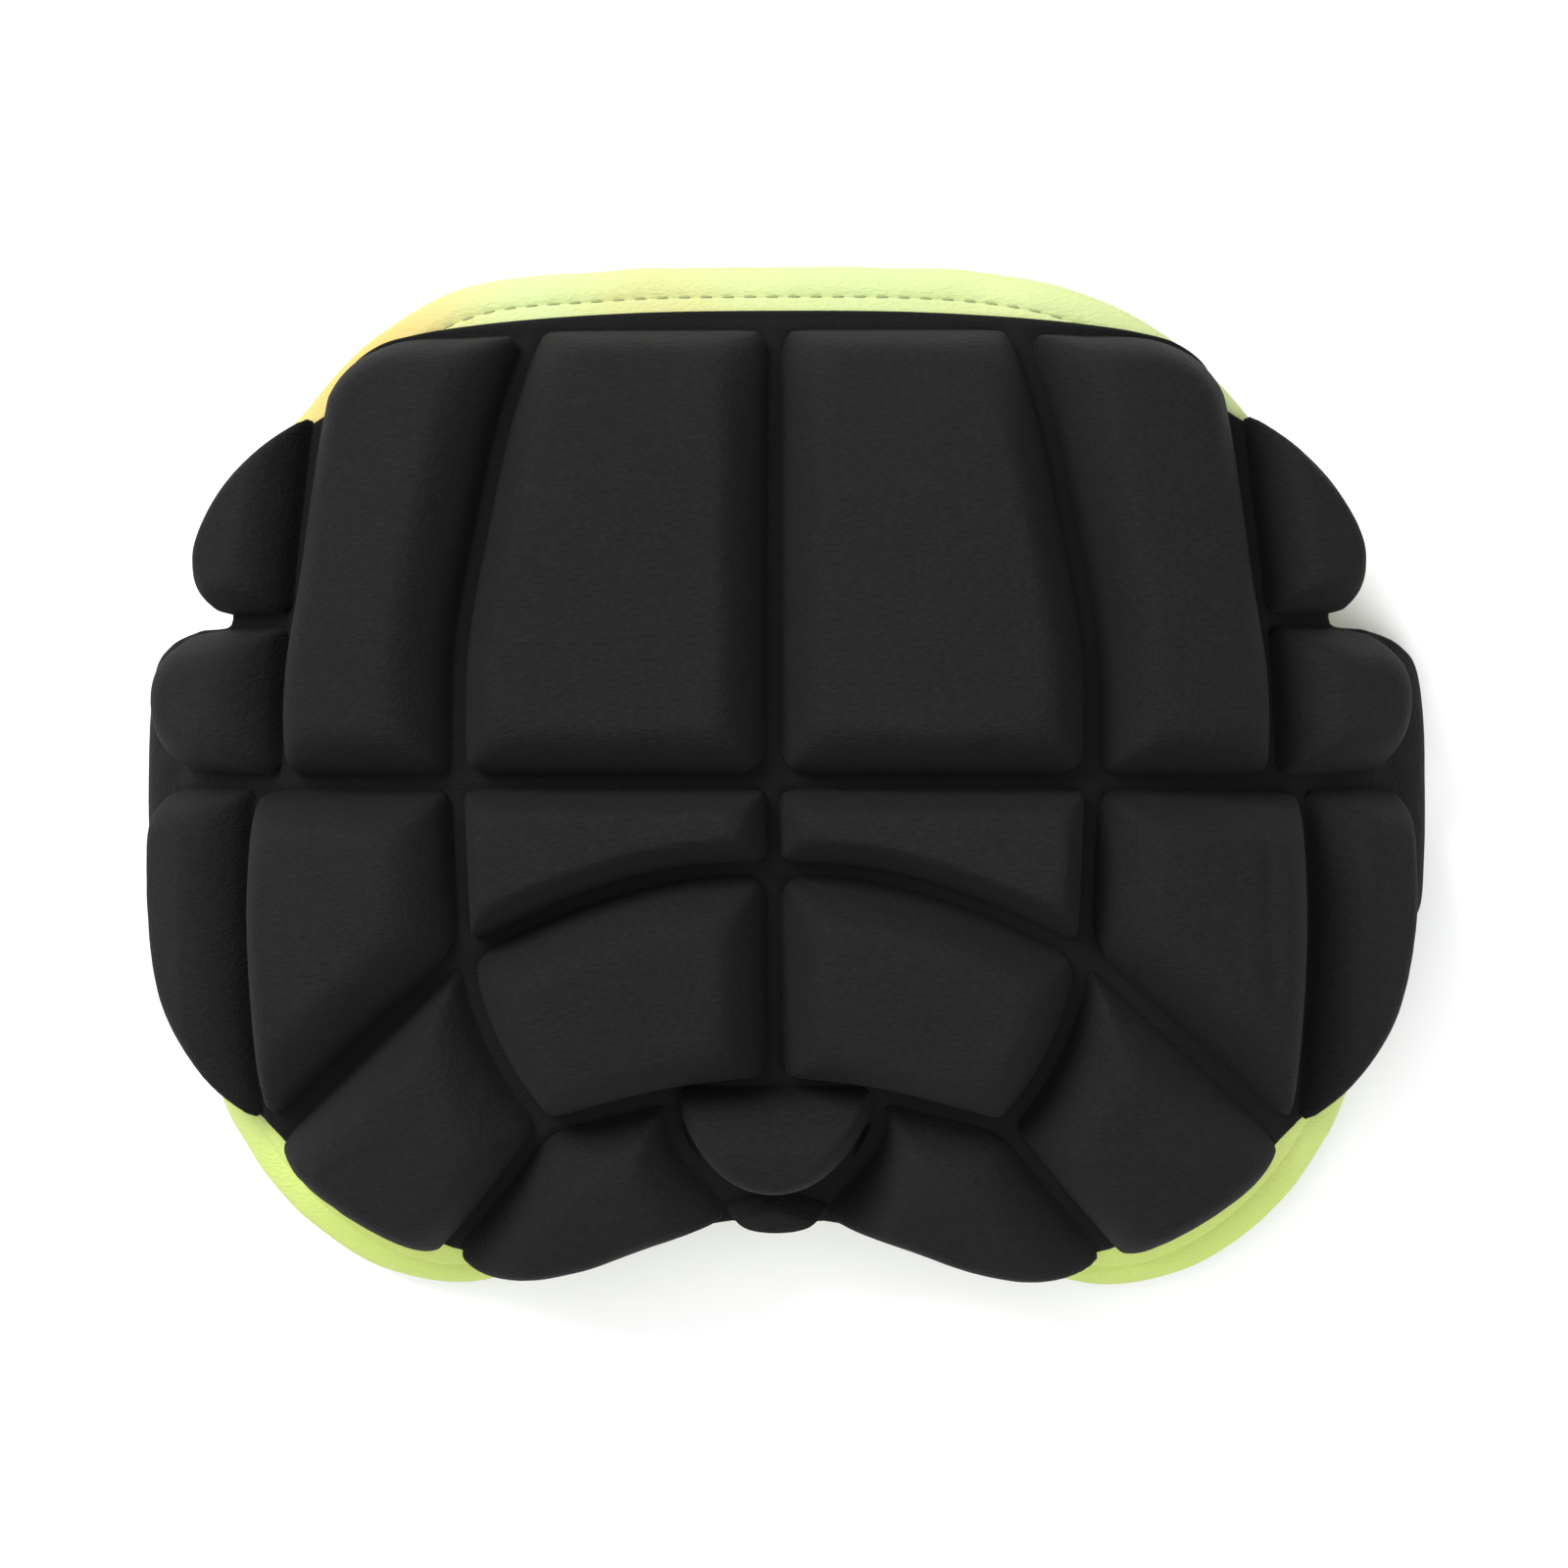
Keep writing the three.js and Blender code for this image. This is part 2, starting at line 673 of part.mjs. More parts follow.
function tailbonePad() {
  const ground = floor();
  const seat = wholeSheet(-3 * BACKING_WALL, BACKING_WALL + SEAT_GAP);
  const rim = smoothEdge(RIM_EDGE);
  const liningEdge = moved(rim, -BINDING_WIDTH);
  const pad = new THREE.Group();
  pad.add(named("backing", subtract(sheet(smoothEdge(SHEET_EDGE), 0, BACKING_WALL), ground), BLACK));
  pad.add(named("lining", subtract(sheet(liningEdge, -SEAT_GAP - LINING_WALL, -SEAT_GAP), ground), LIME));
  pad.add(named("edge_binding", subtract(binding(liningEdge), ground), LIME));
  pad.add(...BLOCKS.flatMap((row) => blockPair(row, seat)));
  pad.add(...MIDDLE_BLOCKS.map((row) => middleBlock(row, seat)));
  return pad;
}

// The origin is under the middle of the pad's box, on the level that it rests on
function centred(pad) {
  const box = new THREE.Box3().setFromObject(pad, true);
  const middle = box.getCenter(new THREE.Vector3());
  pad.position.set(-middle.x, -middle.y, -box.min.z);
  const root = new THREE.Group();
  root.add(pad);
  return root;
}

export default centred(tailbonePad());
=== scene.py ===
# Tailbone pad: the cloth-covered foam, the lime layer and its sewn edge, built round the fixed frame.
# Every piece is drawn flat, as a distance across and along the sheet, and is then bent with the sheet.
import math

import bpy
import numpy as np
from bpy.types import Operator, Panel, PropertyGroup
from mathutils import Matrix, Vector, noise
from mathutils.geometry import delaunay_2d_cdt


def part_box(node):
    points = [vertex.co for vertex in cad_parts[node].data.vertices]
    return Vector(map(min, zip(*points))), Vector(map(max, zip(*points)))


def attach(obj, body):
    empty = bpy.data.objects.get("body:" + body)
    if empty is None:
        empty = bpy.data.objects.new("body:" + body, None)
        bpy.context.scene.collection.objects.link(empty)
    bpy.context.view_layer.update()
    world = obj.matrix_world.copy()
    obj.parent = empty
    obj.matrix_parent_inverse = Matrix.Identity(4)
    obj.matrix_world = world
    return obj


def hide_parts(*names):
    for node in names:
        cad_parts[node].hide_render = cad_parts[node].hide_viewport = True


bl_info = {
    "name": "Tailbone pad",
    "version": (1, 0, 0),
    "blender": (4, 5, 0),
    "location": "View3D > Sidebar > Pad",
    "description": "Builds a bent tailbone pad of foam blocks over a lime lining",
    "category": "Object",
}

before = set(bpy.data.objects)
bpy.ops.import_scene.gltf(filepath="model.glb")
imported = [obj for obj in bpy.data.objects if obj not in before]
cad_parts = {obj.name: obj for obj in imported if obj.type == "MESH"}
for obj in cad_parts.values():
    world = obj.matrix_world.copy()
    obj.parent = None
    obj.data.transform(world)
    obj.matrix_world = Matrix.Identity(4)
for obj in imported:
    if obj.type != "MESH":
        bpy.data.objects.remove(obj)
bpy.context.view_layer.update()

MM = 0.001

# The sheet's reach in millimetres, its turn at the ends in degrees, and how late it turns
HALF_WRAP = 176.0
WAIST_REACH = 126.0
SEAT_REACH = 136.0
SIDE_BEND = (HALF_WRAP, 67.5, 2.3)
WAIST_BEND = (WAIST_REACH, 17.0, 2.0)
SEAT_BEND = (SEAT_REACH, 50.0, 1.8)
CORNER_RELIEF = 1.15
FLAT_TRIM = 2.0
SEAT_GAP = 0.35
EDGE_DEPTH = 1.0

# Meeting points of the grooves: across as a share of HALF_WRAP, along as a share of
# WAIST_REACH above the waist groove and of SEAT_REACH below it
POINTS = {
    "top_middle": (0, 0.86), "top_inner": (0.326, 0.86), "inner_high": (0.365, 0.69),
    "inner_mid": (0.397, 0.48), "inner_low": (0.426, 0.246), "top_outer": (0.416, 0.853),
    "shoulder_a": (0.512, 0.848), "shoulder_b": (0.578, 0.808), "shoulder_c": (0.617, 0.742),
    "outer_high": (0.629, 0.675), "outer_mid": (0.661, 0.373), "outer_low": (0.681, 0.19),
    "waist_middle": (0, -0.009), "waist_inner": (0.429, -0.009), "waist_outer": (0.683, -0.009),
    "wing_tip": (0.632, 0.715), "wing_a": (0.704, 0.65), "wing_b": (0.763, 0.57),
    "wing_c": (0.806, 0.465), "wing_d": (0.818, 0.38), "wing_e": (0.794, 0.302),
    "neck_inner": (0.668, 0.302), "knob_top": (0.834, 0.298), "knob_out": (0.89, 0.237),
    "knob_side": (0.902, 0.12), "knob_low": (0.862, 0.0), "strip_in": (0.726, -0.009),
    "strip_mid": (0.736, -0.246), "strip_tip": (0.72, -0.645), "strip_top": (0.905, -0.009),
    "strip_out": (0.906, -0.27), "strip_turn": (0.874, -0.433), "strip_low": (0.807, -0.553),
    "hip_side": (0.422, -0.23), "crossing": (0.419, -0.305), "arch_middle": (0, -0.157),
    "arch_a": (0.13, -0.168), "arch_b": (0.265, -0.217), "sacrum_a": (0.411, -0.37),
    "sacrum_b": (0.391, -0.45), "sacrum_c": (0.358, -0.535), "sacrum_foot": (0.313, -0.618),
    "tail_side": (0.141, -0.56), "tail_middle": (0, -0.537), "thigh_tip": (0.708, -0.652),
    "thigh_a": (0.664, -0.725), "thigh_b": (0.601, -0.79), "thigh_c": (0.529, -0.845),
    "thigh_foot": (0.461, -0.885), "lobe_a": (0.416, -0.908), "lobe_b": (0.34, -0.918),
    "lobe_c": (0.254, -0.895), "lobe_d": (0.167, -0.85), "lobe_e": (0.055, -0.797),
    "slot_a": (0.076, -0.745), "slot_b": (0.112, -0.692), "slot_c": (0.14, -0.63),
    "dome_top": (0.14, -0.531), "dome_a": (0.137, -0.6), "dome_b": (0.106, -0.672),
    "dome_c": (0.059, -0.716), "dome_d": (0, -0.732), "lip_side": (0.084, -0.768),
    "lip_top": (0, -0.725), "lip_low": (0.049, -0.806), "lip_foot": (0, -0.818),
}

# A block's ridge is the line that its top rises to; its foam and shoulder are shares of the named sizes
BLOCKS = {
    "upper_inner": {
        "ridge": ((0.205, 0.2), (0.175, 0.66)), "foam": 1, "shoulder": 1,
        "outline": (
            "top_middle", "top_inner", "inner_high", "inner_mid", "inner_low", "waist_inner",
            "waist_middle",
        ),
    },
    "upper_outer": {
        "ridge": ((0.554, 0.17), (0.495, 0.66)), "foam": 1, "shoulder": 1,
        "outline": (
            "top_inner", "top_outer", "shoulder_a", "shoulder_b", "shoulder_c", "outer_high",
            "outer_mid", "outer_low", "waist_outer", "waist_inner", "inner_low", "inner_mid",
            "inner_high",
        ),
    },
    "wing": {
        "ridge": ((0.711, 0.52), (0.739, 0.42)), "foam": 0.78, "shoulder": 0.62,
        "outline": ("wing_tip", "wing_a", "wing_b", "wing_c", "wing_d", "wing_e", "neck_inner"),
    },
    "side_knob": {
        "ridge": ((0.77, 0.16), (0.79, 0.13)), "foam": 0.85, "shoulder": 1,
        "outline": ("neck_inner", "knob_top", "knob_out", "knob_side", "knob_low", "waist_outer"),
    },
    "side_strip": {
        "ridge": ((0.815, -0.13), (0.804, -0.36)), "foam": 0.72, "shoulder": 0.8,
        "outline": (
            "strip_in", "strip_top", "strip_out", "strip_turn", "strip_low", "strip_tip",
            "strip_mid",
        ),
    },
    "hip": {
        "ridge": ((0.557, -0.164), (0.614, -0.3)), "foam": 1, "shoulder": 1,
        "outline": ("waist_inner", "strip_in", "strip_mid", "strip_tip", "crossing", "hip_side"),
    },
    "band": {
        "ridge": ((0.13, -0.093), (0.33, -0.125)), "foam": 0.85, "shoulder": 0.55,
        "outline": (
            "waist_middle", "waist_inner", "hip_side", "crossing", "arch_b", "arch_a",
            "arch_middle",
        ),
    },
    "sacrum": {
        "ridge": ((0.13, -0.36), (0.25, -0.42)), "foam": 1, "shoulder": 1,
        "outline": (
            "arch_middle", "arch_a", "arch_b", "crossing", "sacrum_a", "sacrum_b", "sacrum_c",
            "sacrum_foot", "tail_side", "tail_middle",
        ),
    },
    "thigh": {
        "ridge": ((0.45, -0.56), (0.54, -0.66)), "foam": 0.9, "shoulder": 1,
        "outline": (
            "crossing", "thigh_tip", "thigh_a", "thigh_b", "thigh_c", "thigh_foot", "sacrum_foot",
            "sacrum_c", "sacrum_b", "sacrum_a",
        ),
    },
    "lobe": {
        "ridge": ((0.205, -0.724), (0.3, -0.776)), "foam": 0.8, "shoulder": 0.85,
        "outline": (
            "tail_side", "sacrum_foot", "thigh_foot", "lobe_a", "lobe_b", "lobe_c", "lobe_d",
            "lobe_e", "slot_a", "slot_b", "slot_c",
        ),
    },
}

# The two blocks on the middle line, drawn on one side and mirrored into one outline
MIDDLE_BLOCKS = {
    "tailbone_dome": {
        "ridge": ((-0.04, -0.625), (0.04, -0.625)), "foam": 1.1, "shoulder": 0.72,
        "outline": ("dome_top", "dome_a", "dome_b", "dome_c", "dome_d"),
    },
    "tail_lip": {
        "ridge": ((-0.012, -0.771), (0.012, -0.771)), "foam": 0.3, "shoulder": 0.2,
        "outline": ("lip_top", "lip_side", "lip_low", "lip_foot"),
    },
}

# Edge of the black sheet, from the waist edge round one flank tab to the tail
SHEET_EDGE = (
    (0, 0.893), (0.2, 0.889), (0.389, 0.871), (0.497, 0.85), (0.549, 0.83), (0.591, 0.785),
    (0.612, 0.712), (0.697, 0.648), (0.763, 0.565), (0.802, 0.46), (0.808, 0.38), (0.782, 0.3),
    (0.856, 0.285), (0.926, 0.262), (0.973, 0.222), (1.0, 0.12), (1.004, -0.15), (0.99, -0.235),
    (0.945, -0.285), (0.912, -0.34), (0.874, -0.43), (0.805, -0.545), (0.71, -0.645),
    (0.658, -0.722), (0.591, -0.787), (0.517, -0.842), (0.43, -0.893), (0.34, -0.915),
    (0.254, -0.897), (0.162, -0.85), (0.076, -0.818), (0, -0.82),
)

# Outer edge of the lime binding, in the same order
RIM_EDGE = (
    (0, 0.991), (0.216, 0.986), (0.335, 0.968), (0.43, 0.932), (0.53, 0.862), (0.61, 0.77),
    (0.686, 0.664), (0.756, 0.575), (0.797, 0.47), (0.803, 0.38), (0.797, 0.3), (0.852, 0.25),
    (0.925, 0.215), (0.975, 0.15), (0.992, 0.06), (0.992, -0.1), (0.974, -0.18), (0.925, -0.235),
    (0.888, -0.33), (0.87, -0.45), (0.843, -0.565), (0.783, -0.69), (0.709, -0.81),
    (0.618, -0.92), (0.536, -0.985), (0.458, -1.008), (0.389, -0.985), (0.324, -0.93),
    (0.238, -0.875), (0.13, -0.83), (0, -0.812),
)


def length_property(name, description, default, low, high):
    """A size in metres that the panel shows as a length"""
    return bpy.props.FloatProperty(
        name=name, description=description, default=default, min=low, max=high,
        unit="LENGTH", subtype="DISTANCE",
    )


def colour_property(name, description, default):
    """A colour as red, green and blue, in linear light"""
    return bpy.props.FloatVectorProperty(
        name=name, description=description, default=default, size=3, min=0.0, max=1.0, subtype="COLOR"
    )


class PadSizes(PropertyGroup):
    """Sizes of the pad's foam, cloth and sewing"""

    foam: length_property("Foam height", "Height of a full block over the black sheet", 0.0173, 0.004, 0.04)
    shoulder: length_property(
        "Shoulder", "Distance from a block's foot in to its level top", 0.012, 0.002, 0.02
    )
    crown: length_property("Crown", "Rise of a block's middle over its shoulder", 0.0024, 0.0, 0.006)
    groove: length_property("Groove", "Width of the floor between two blocks", 0.0024, 0.002, 0.012)
    groove_swell: length_property(
        "Groove swell", "Rise of a groove's middle over its edges", 0.0003, 0.0, 0.003
    )
    backing_wall: length_property("Black sheet", "Thickness of the black sheet", 0.0025, 0.001, 0.006)
    tab_puff: length_property(
        "Tab padding", "Extra thickness in the middle of each flank tab", 0.0022, 0.0, 0.006
    )
    lining_wall: length_property("Lining", "Thickness of the lime lining", 0.003, 0.001, 0.006)
    binding_width: length_property(
        "Binding width", "Width of the tape sewn round the lining", 0.0088, 0.004, 0.015
    )
    binding_wall: length_property("Binding thickness", "Thickness of the rolled tape", 0.0042, 0.002, 0.008)
    stitch_pitch: length_property(
        "Stitch pitch", "Distance from one stitch to the next", 0.0053, 0.002, 0.01
    )
    stitch_length: length_property(
        "Stitch length", "Length of thread that shows in one stitch", 0.003, 0.001, 0.008
    )
    thread: length_property("Thread", "Diameter of the sewing thread", 0.0006, 0.0002, 0.002)


class PadColours(PropertyGroup):
    """Colours of the pad's cloth and of the stage"""

    black: colour_property(
        "Black cloth", "Colour of the knitted cloth over the foam", (0.0044, 0.0044, 0.0046)
    )
    worn: colour_property(
        "Pale fibres", "Colour that the black cloth's raised fibres fade to", (0.0094, 0.0094, 0.0098)
    )
    lime: colour_property("Lime cloth", "Colour of the lining and its binding", (0.435, 0.515, 0.235))
    green: colour_property(
        "Lime at the seat", "Deeper colour of the lime cloth towards the seat edge", (0.45, 0.55, 0.13)
    )
    # Painted shade: the darker colour given to the black cloth down in the grooves
    groove: colour_property(
        "Groove", "Colour of the black cloth down in the grooves", (0.0040, 0.0040, 0.0041)
    )
    # Warm tone for random patches of the lime cloth, and painted shade at the left end of the waist edge
    amber_and_shade: colour_property(
        "Lime in the folds", "Warmer colour of the lime cloth where it is stretched", (0.57, 0.38, 0.11)
    )
    thread: colour_property("Thread", "Colour of the sewing thread", (0.27, 0.32, 0.13))
    floor: colour_property("Floor", "Colour of the floor", (0.92, 0.92, 0.92))


def size(context, name):
    """One of the pad's sizes, in millimetres"""
    return getattr(context.scene.pad_sizes, name) / MM


def colour(context, name):
    return (*getattr(context.scene.pad_colours, name), 1.0)


# Bending the flat sheet
def bend_table(reach, turn, ease):
    length = np.linspace(0, 1.2 * reach, 1201)
    middle = (length[1:] + length[:-1]) / 2
    angle = math.radians(turn) * (middle / reach) ** ease
    step = length[1]
    level = np.concatenate([[0], np.cumsum(np.cos(angle)) * step])
    drop = np.concatenate([[0], np.cumsum(np.sin(angle)) * step])
    return length, level, drop


SIDE, WAIST, SEAT = (bend_table(*bend) for bend in (SIDE_BEND, WAIST_BEND, SEAT_BEND))
CREST = float(np.interp(HALF_WRAP, SIDE[0], SIDE[2])) - FLAT_TRIM


def bent(flat):
    """The sheet's inner face, bent: the points that lie across and along it"""
    across, along = flat[:, 0], flat[:, 1]
    (side_level, side_drop), seat, waist = (
        [np.interp(at, table[0], column) for column in table[1:]]
        for at, table in ((np.abs(across), SIDE), (-along, SEAT), (along, WAIST))
    )
    end_level, end_drop = np.where(along < 0, seat, waist)
    drop = (side_drop**CORNER_RELIEF + end_drop**CORNER_RELIEF) ** (1 / CORNER_RELIEF)
    return np.stack([np.sign(across) * side_level, np.sign(along) * end_level, CREST - drop], 1)


def faced(flat):
    """Directions square to the sheet's inner face"""
    probe = 0.4
    right = bent(flat + (probe, 0)) - bent(flat - (probe, 0))
    up = bent(flat + (0, probe)) - bent(flat - (0, probe))
    out = np.cross(right, up)
    return out / np.linalg.norm(out, axis=1)[:, None]


# The frame's origin is under the middle of its box, so the drawn waist edge sets the shift along Y
def waist_shift():
    edge = np.array([row for row in RIM_EDGE if row[0] == 0 and row[1] > 0]) * (HALF_WRAP, WAIST_REACH)
    drawn = (bent(edge) - faced(edge) * (SEAT_GAP + EDGE_DEPTH))[0, 1]
    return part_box("edge_binding")[1][1] / MM - drawn


SHIFT = waist_shift()


def lifted(flat, lift):
    """Points lifted off the sheet's inner face, square to it, and never under the floor"""
    made = bent(flat) + faced(flat) * np.broadcast_to(lift, len(flat))[:, None]
    made[:, 1] += SHIFT
    made[:, 2] = np.maximum(made[:, 2], 0.0)
    return made


# Outlines
EDGE_POINTS = 720
RIM_POINTS = 88


def flat_points(rows):
    rows = np.array(rows, float)
    reach = np.where(rows[:, 1] < 0, SEAT_REACH, WAIST_REACH)
    return np.stack([rows[:, 0] * HALF_WRAP, rows[:, 1] * reach], 1)


def mirrored(points):
    return (points * (-1, 1))[::-1]


def spline(points, closed, pieces):
    """Points along a smooth curve through the given ones, the same number after each"""
    if closed:
        padded = np.concatenate([points[-1:], points, points[:2]])
    else:
        padded = np.concatenate([2 * points[:1] - points[1:2], points, 2 * points[-1:] - points[-2:-1]])
    made = []
    for p0, p1, p2, p3 in zip(padded, padded[1:], padded[2:], padded[3:]):
        gaps = [max(np.linalg.norm(b - a), 1e-6) ** 0.5 for a, b in ((p0, p1), (p1, p2), (p2, p3))]
        t1, t2, t3 = np.cumsum(gaps)
        for t in np.linspace(t1, t2, pieces, endpoint=False):
            a1 = (t1 - t) / t1 * p0 + t / t1 * p1
            a2 = (t2 - t) / (t2 - t1) * p1 + (t - t1) / (t2 - t1) * p2
            a3 = (t3 - t) / (t3 - t2) * p2 + (t - t2) / (t3 - t2) * p3
            b1 = (t2 - t) / t2 * a1 + t / t2 * a2
            b2 = (t3 - t) / (t3 - t1) * a2 + (t - t1) / (t3 - t1) * a3
            made.append((t2 - t) / (t2 - t1) * b1 + (t - t1) / (t2 - t1) * b2)
    if not closed:
        made.append(points[-1])
    return np.array(made)


def spaced(points, count):
    """Evenly spaced points along a closed line"""
    line = np.concatenate([points, points[:1]])
    run = np.concatenate([[0], np.cumsum(np.linalg.norm(np.diff(line, axis=0), axis=1))])
    at = np.linspace(0, run[-1], count + 1)[:-1]
    return np.stack([np.interp(at, run, line[:, k]) for k in range(line.shape[1])], 1)


def whole_edge(rows, count):
    """A closed anticlockwise edge from one side's table"""
    right = flat_points(rows)
    ring = np.concatenate([right, mirrored(right[1:-1])])
    return spaced(spline(ring, True, 12), count)[::-1]


def moved(outline, distance):
    """An anticlockwise outline moved outwards, or inwards where the distance is negative"""
    along = np.roll(outline, -1, 0) - np.roll(outline, 1, 0)
    along /= np.linalg.norm(along, axis=1)[:, None]
    return outline + np.stack([along[:, 1], -along[:, 0]], 1) * distance


def distance_to(points, starts, ends):
    """Distance from each point to the nearest of many short lines"""
    run = ends - starts
    length = np.maximum((run**2).sum(1), 1e-9)
    found = np.empty(len(points))
    for i in range(0, len(points), 2000):
        away = points[i : i + 2000, None] - starts[None]
        share = np.clip((away * run[None]).sum(2) / length, 0, 1)
        gap = away - share[:, :, None] * run[None]
        found[i : i + 2000] = np.sqrt((gap**2).sum(2).min(1))
    return found


def within(points, outline):
    """Which points lie inside a closed outline"""
    inside = np.zeros(len(points), bool)
    for a, b in zip(outline, np.roll(outline, -1, 0)):
        spans = (a[1] > points[:, 1]) != (b[1] > points[:, 1])
        rise = b[1] - a[1] or 1e-12
        inside ^= spans & (points[:, 0] < a[0] + (points[:, 1] - a[1]) / rise * (b[0] - a[0]))
    return inside


# The blocks' outlines, in runs between corners: a run swells outwards or, where it is hollow, inwards
CORNER_TURN = math.sin(math.radians(33))


def block_outline(row, middle):
    outline = flat_points([POINTS[name] for name in row["outline"]])[::-1]
    if middle:
        left = mirrored(outline)
        outline = np.concatenate([outline, left[left[:, 0] < 0]])
    return outline


def side_runs(outline):
    along = np.roll(outline, -1, 0) - outline
    along /= np.linalg.norm(along, axis=1)[:, None]
    before = np.roll(along, 1, 0)
    turn = before[:, 0] * along[:, 1] - before[:, 1] * along[:, 0]
    count = len(outline)
    corners = [i for i in range(count) if turn[i] > CORNER_TURN]
    runs = []
    for first, last in zip(corners, corners[1:] + [corners[0] + count]):
        points = outline[[i % count for i in range(first, last + 1)]]
        hollow = sum(turn[i % count] for i in range(first + 1, last)) < 0
        line = spline(points, False, 8) if len(points) > 2 else points
        run = np.diff(line, axis=0)
        run /= np.linalg.norm(run, axis=1)[:, None]
        runs.append({"line": line, "out": np.stack([run[:, 1], -run[:, 0]], 1), "hollow": hollow})
    return runs


# A side nearer than this, in millimetres, counts as being this near
LEAST_CLEAR = 0.05


def ray_reach(start, ray, runs, power):
    """How far each ray goes inside the outline, held in from each side by its inset"""
    total = np.zeros(len(start))
    for run in runs:
        clear = ((run["line"][None, :-1] - start[:, None]) * run["out"][None]).sum(2) - run["inset"]
        facing = np.maximum(ray @ run["out"].T, 0)
        near = np.where(clear > LEAST_CLEAR, facing / np.maximum(clear, LEAST_CLEAR), np.inf)
        nearest = near.min(1) if run["hollow"] else np.minimum(near, 1 / LEAST_CLEAR).max(1)
        total += np.minimum(nearest, 1 / LEAST_CLEAR) ** power
    return np.maximum(total, 1e-30) ** (-1 / power)


def ridge_rays(ridge, runs, power, count):
    """Rays square out from a block's ridge, to points evenly spaced along its foot"""
    turn = np.linspace(0, 2 * math.pi, 720, endpoint=False)
    ray = np.stack([np.cos(turn), np.sin(turn)], 1)
    middle = np.repeat(ridge.mean(0)[None], len(ray), 0)
    feet = middle + ray * ray_reach(middle, ray, runs, power)[:, None]
    feet = spaced(feet, count)
    along = ridge[1] - ridge[0]
    share = np.clip((feet - ridge[0]) @ along / (along @ along), 0, 1)
    start = ridge[0] + share[:, None] * along
    ray = feet - start
    return start, ray / np.linalg.norm(ray, axis=1)[:, None]


# Objects and meshes
def add_object(name, data):
    made = bpy.data.objects.new(name, data)
    bpy.context.scene.collection.objects.link(made)
    return made


def ring_faces(rings, count, first, last):
    """Four-sided faces between rings of as many points each, and a fan at either end"""
    faces = []
    for r in range(rings - 1):
        for i in range(count):
            a, b = r * count + i, r * count + (i + 1) % count
            faces.append((a, b, b + count, a + count))
    end = (rings - 1) * count
    for i in range(count):
        j = (i + 1) % count
        faces.append((first, j, i))
        faces.append((last, end + i, end + j))
    return faces


def add_piece(name, points, faces, flat, material, slot, nodes=(), unshaded=1.0):
    """A smooth piece in millimetres, carried by the pad, with its flat place as its cloth's grain.
    How free of the painted groove shade its cloth is, from 0 down in a groove to 1 out in the open, is kept
    at each point."""
    mesh = bpy.data.meshes.new(name)
    mesh.from_pydata((points * MM).tolist(), [], faces)
    mesh.shade_smooth()
    mesh.materials.append(material)
    grain = mesh.uv_layers.new(name="grain")
    corners = np.empty(len(mesh.loops), np.int32)
    mesh.loops.foreach_get("vertex_index", corners)
    grain.data.foreach_set("uv", (flat[corners] * MM).astype(np.float32).ravel())
    # Painted shade: each point keeps how free it is of the shade painted into the grooves
    worn = mesh.attributes.new("unshaded", "FLOAT", "POINT")
    worn.data.foreach_set("value", np.broadcast_to(unshaded, len(points)).astype(np.float32))
    made = add_object(name, mesh)
    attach(made, "root")
    if nodes:
        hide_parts(*nodes)
    return made


def wavy(points, scale, seed):
    """A soft, repeatable unevenness from -1 to 1"""
    return np.array([noise.noise((x * scale, y * scale, seed)) for x, y in points])


# Materials
def new_material(name):
    """A material's node tree, its shader, and the place on the piece that its patterns follow"""
    made = bpy.data.materials.new(name)
    made.use_nodes = True
    tree = made.node_tree
    tree.nodes.clear()
    out = tree.nodes.new("ShaderNodeOutputMaterial")
    cloth = tree.nodes.new("ShaderNodeBsdfPrincipled")
    tree.links.new(cloth.outputs["BSDF"], out.inputs["Surface"])
    place = tree.nodes.new("ShaderNodeTexCoord").outputs["Object"]
    return made, tree, cloth, place


def set_inputs(tree, node, inputs):
    """Set a node's inputs to numbers and colours, or link them to other nodes' outputs"""
    for name, value in inputs.items():
        if isinstance(value, bpy.types.NodeSocket):
            tree.links.new(value, node.inputs[name])
        else:
            node.inputs[name].default_value = value


def node_of(tree, kind, output, inputs, **settings):
    """One output of a new node"""
    made = tree.nodes.new(kind)
    for name, value in settings.items():
        setattr(made, name, value)
    set_inputs(tree, made, inputs)
    return made.outputs[output]


def noise_of(tree, place, scale, detail, rough):
    inputs = {"Vector": place, "Scale": scale, "Detail": detail, "Roughness": rough}
    return node_of(tree, "ShaderNodeTexNoise", "Fac", inputs)


def ramp(tree, value, low, high):
    inputs = {"Value": value, "From Min": low, "From Max": high}
    return node_of(tree, "ShaderNodeMapRange", "Result", inputs, interpolation_type="SMOOTHSTEP")


def math_of(tree, kind, a, b):
    """The sum or product of two sockets or numbers"""
    return node_of(tree, "ShaderNodeMath", "Value", {0: a, 1: b}, operation=kind)


def mixed(tree, share, a, b):
    return node_of(tree, "ShaderNodeMix", "Result", {"Factor": share, "A": a, "B": b}, data_type="RGBA")


def bump(tree, height, depth, after=None):
    inputs = {"Height": height, "Distance": depth, "Strength": 1.0}
    if after is not None:
        inputs["Normal"] = after
    return node_of(tree, "ShaderNodeBump", "Normal", inputs)


def stretched(tree, place, scale):
    return node_of(tree, "ShaderNodeMapping", "Vector", {"Vector": place, "Scale": scale})


def knit(tree, place, fine):
    """Height of a fine knit: short uneven loops that lie a little sideways"""
    loops = noise_of(tree, stretched(tree, place, (0.5, 1.0, 0.8)), fine, 2.0, 0.5)
    return ramp(tree, loops, 0.3, 0.7)


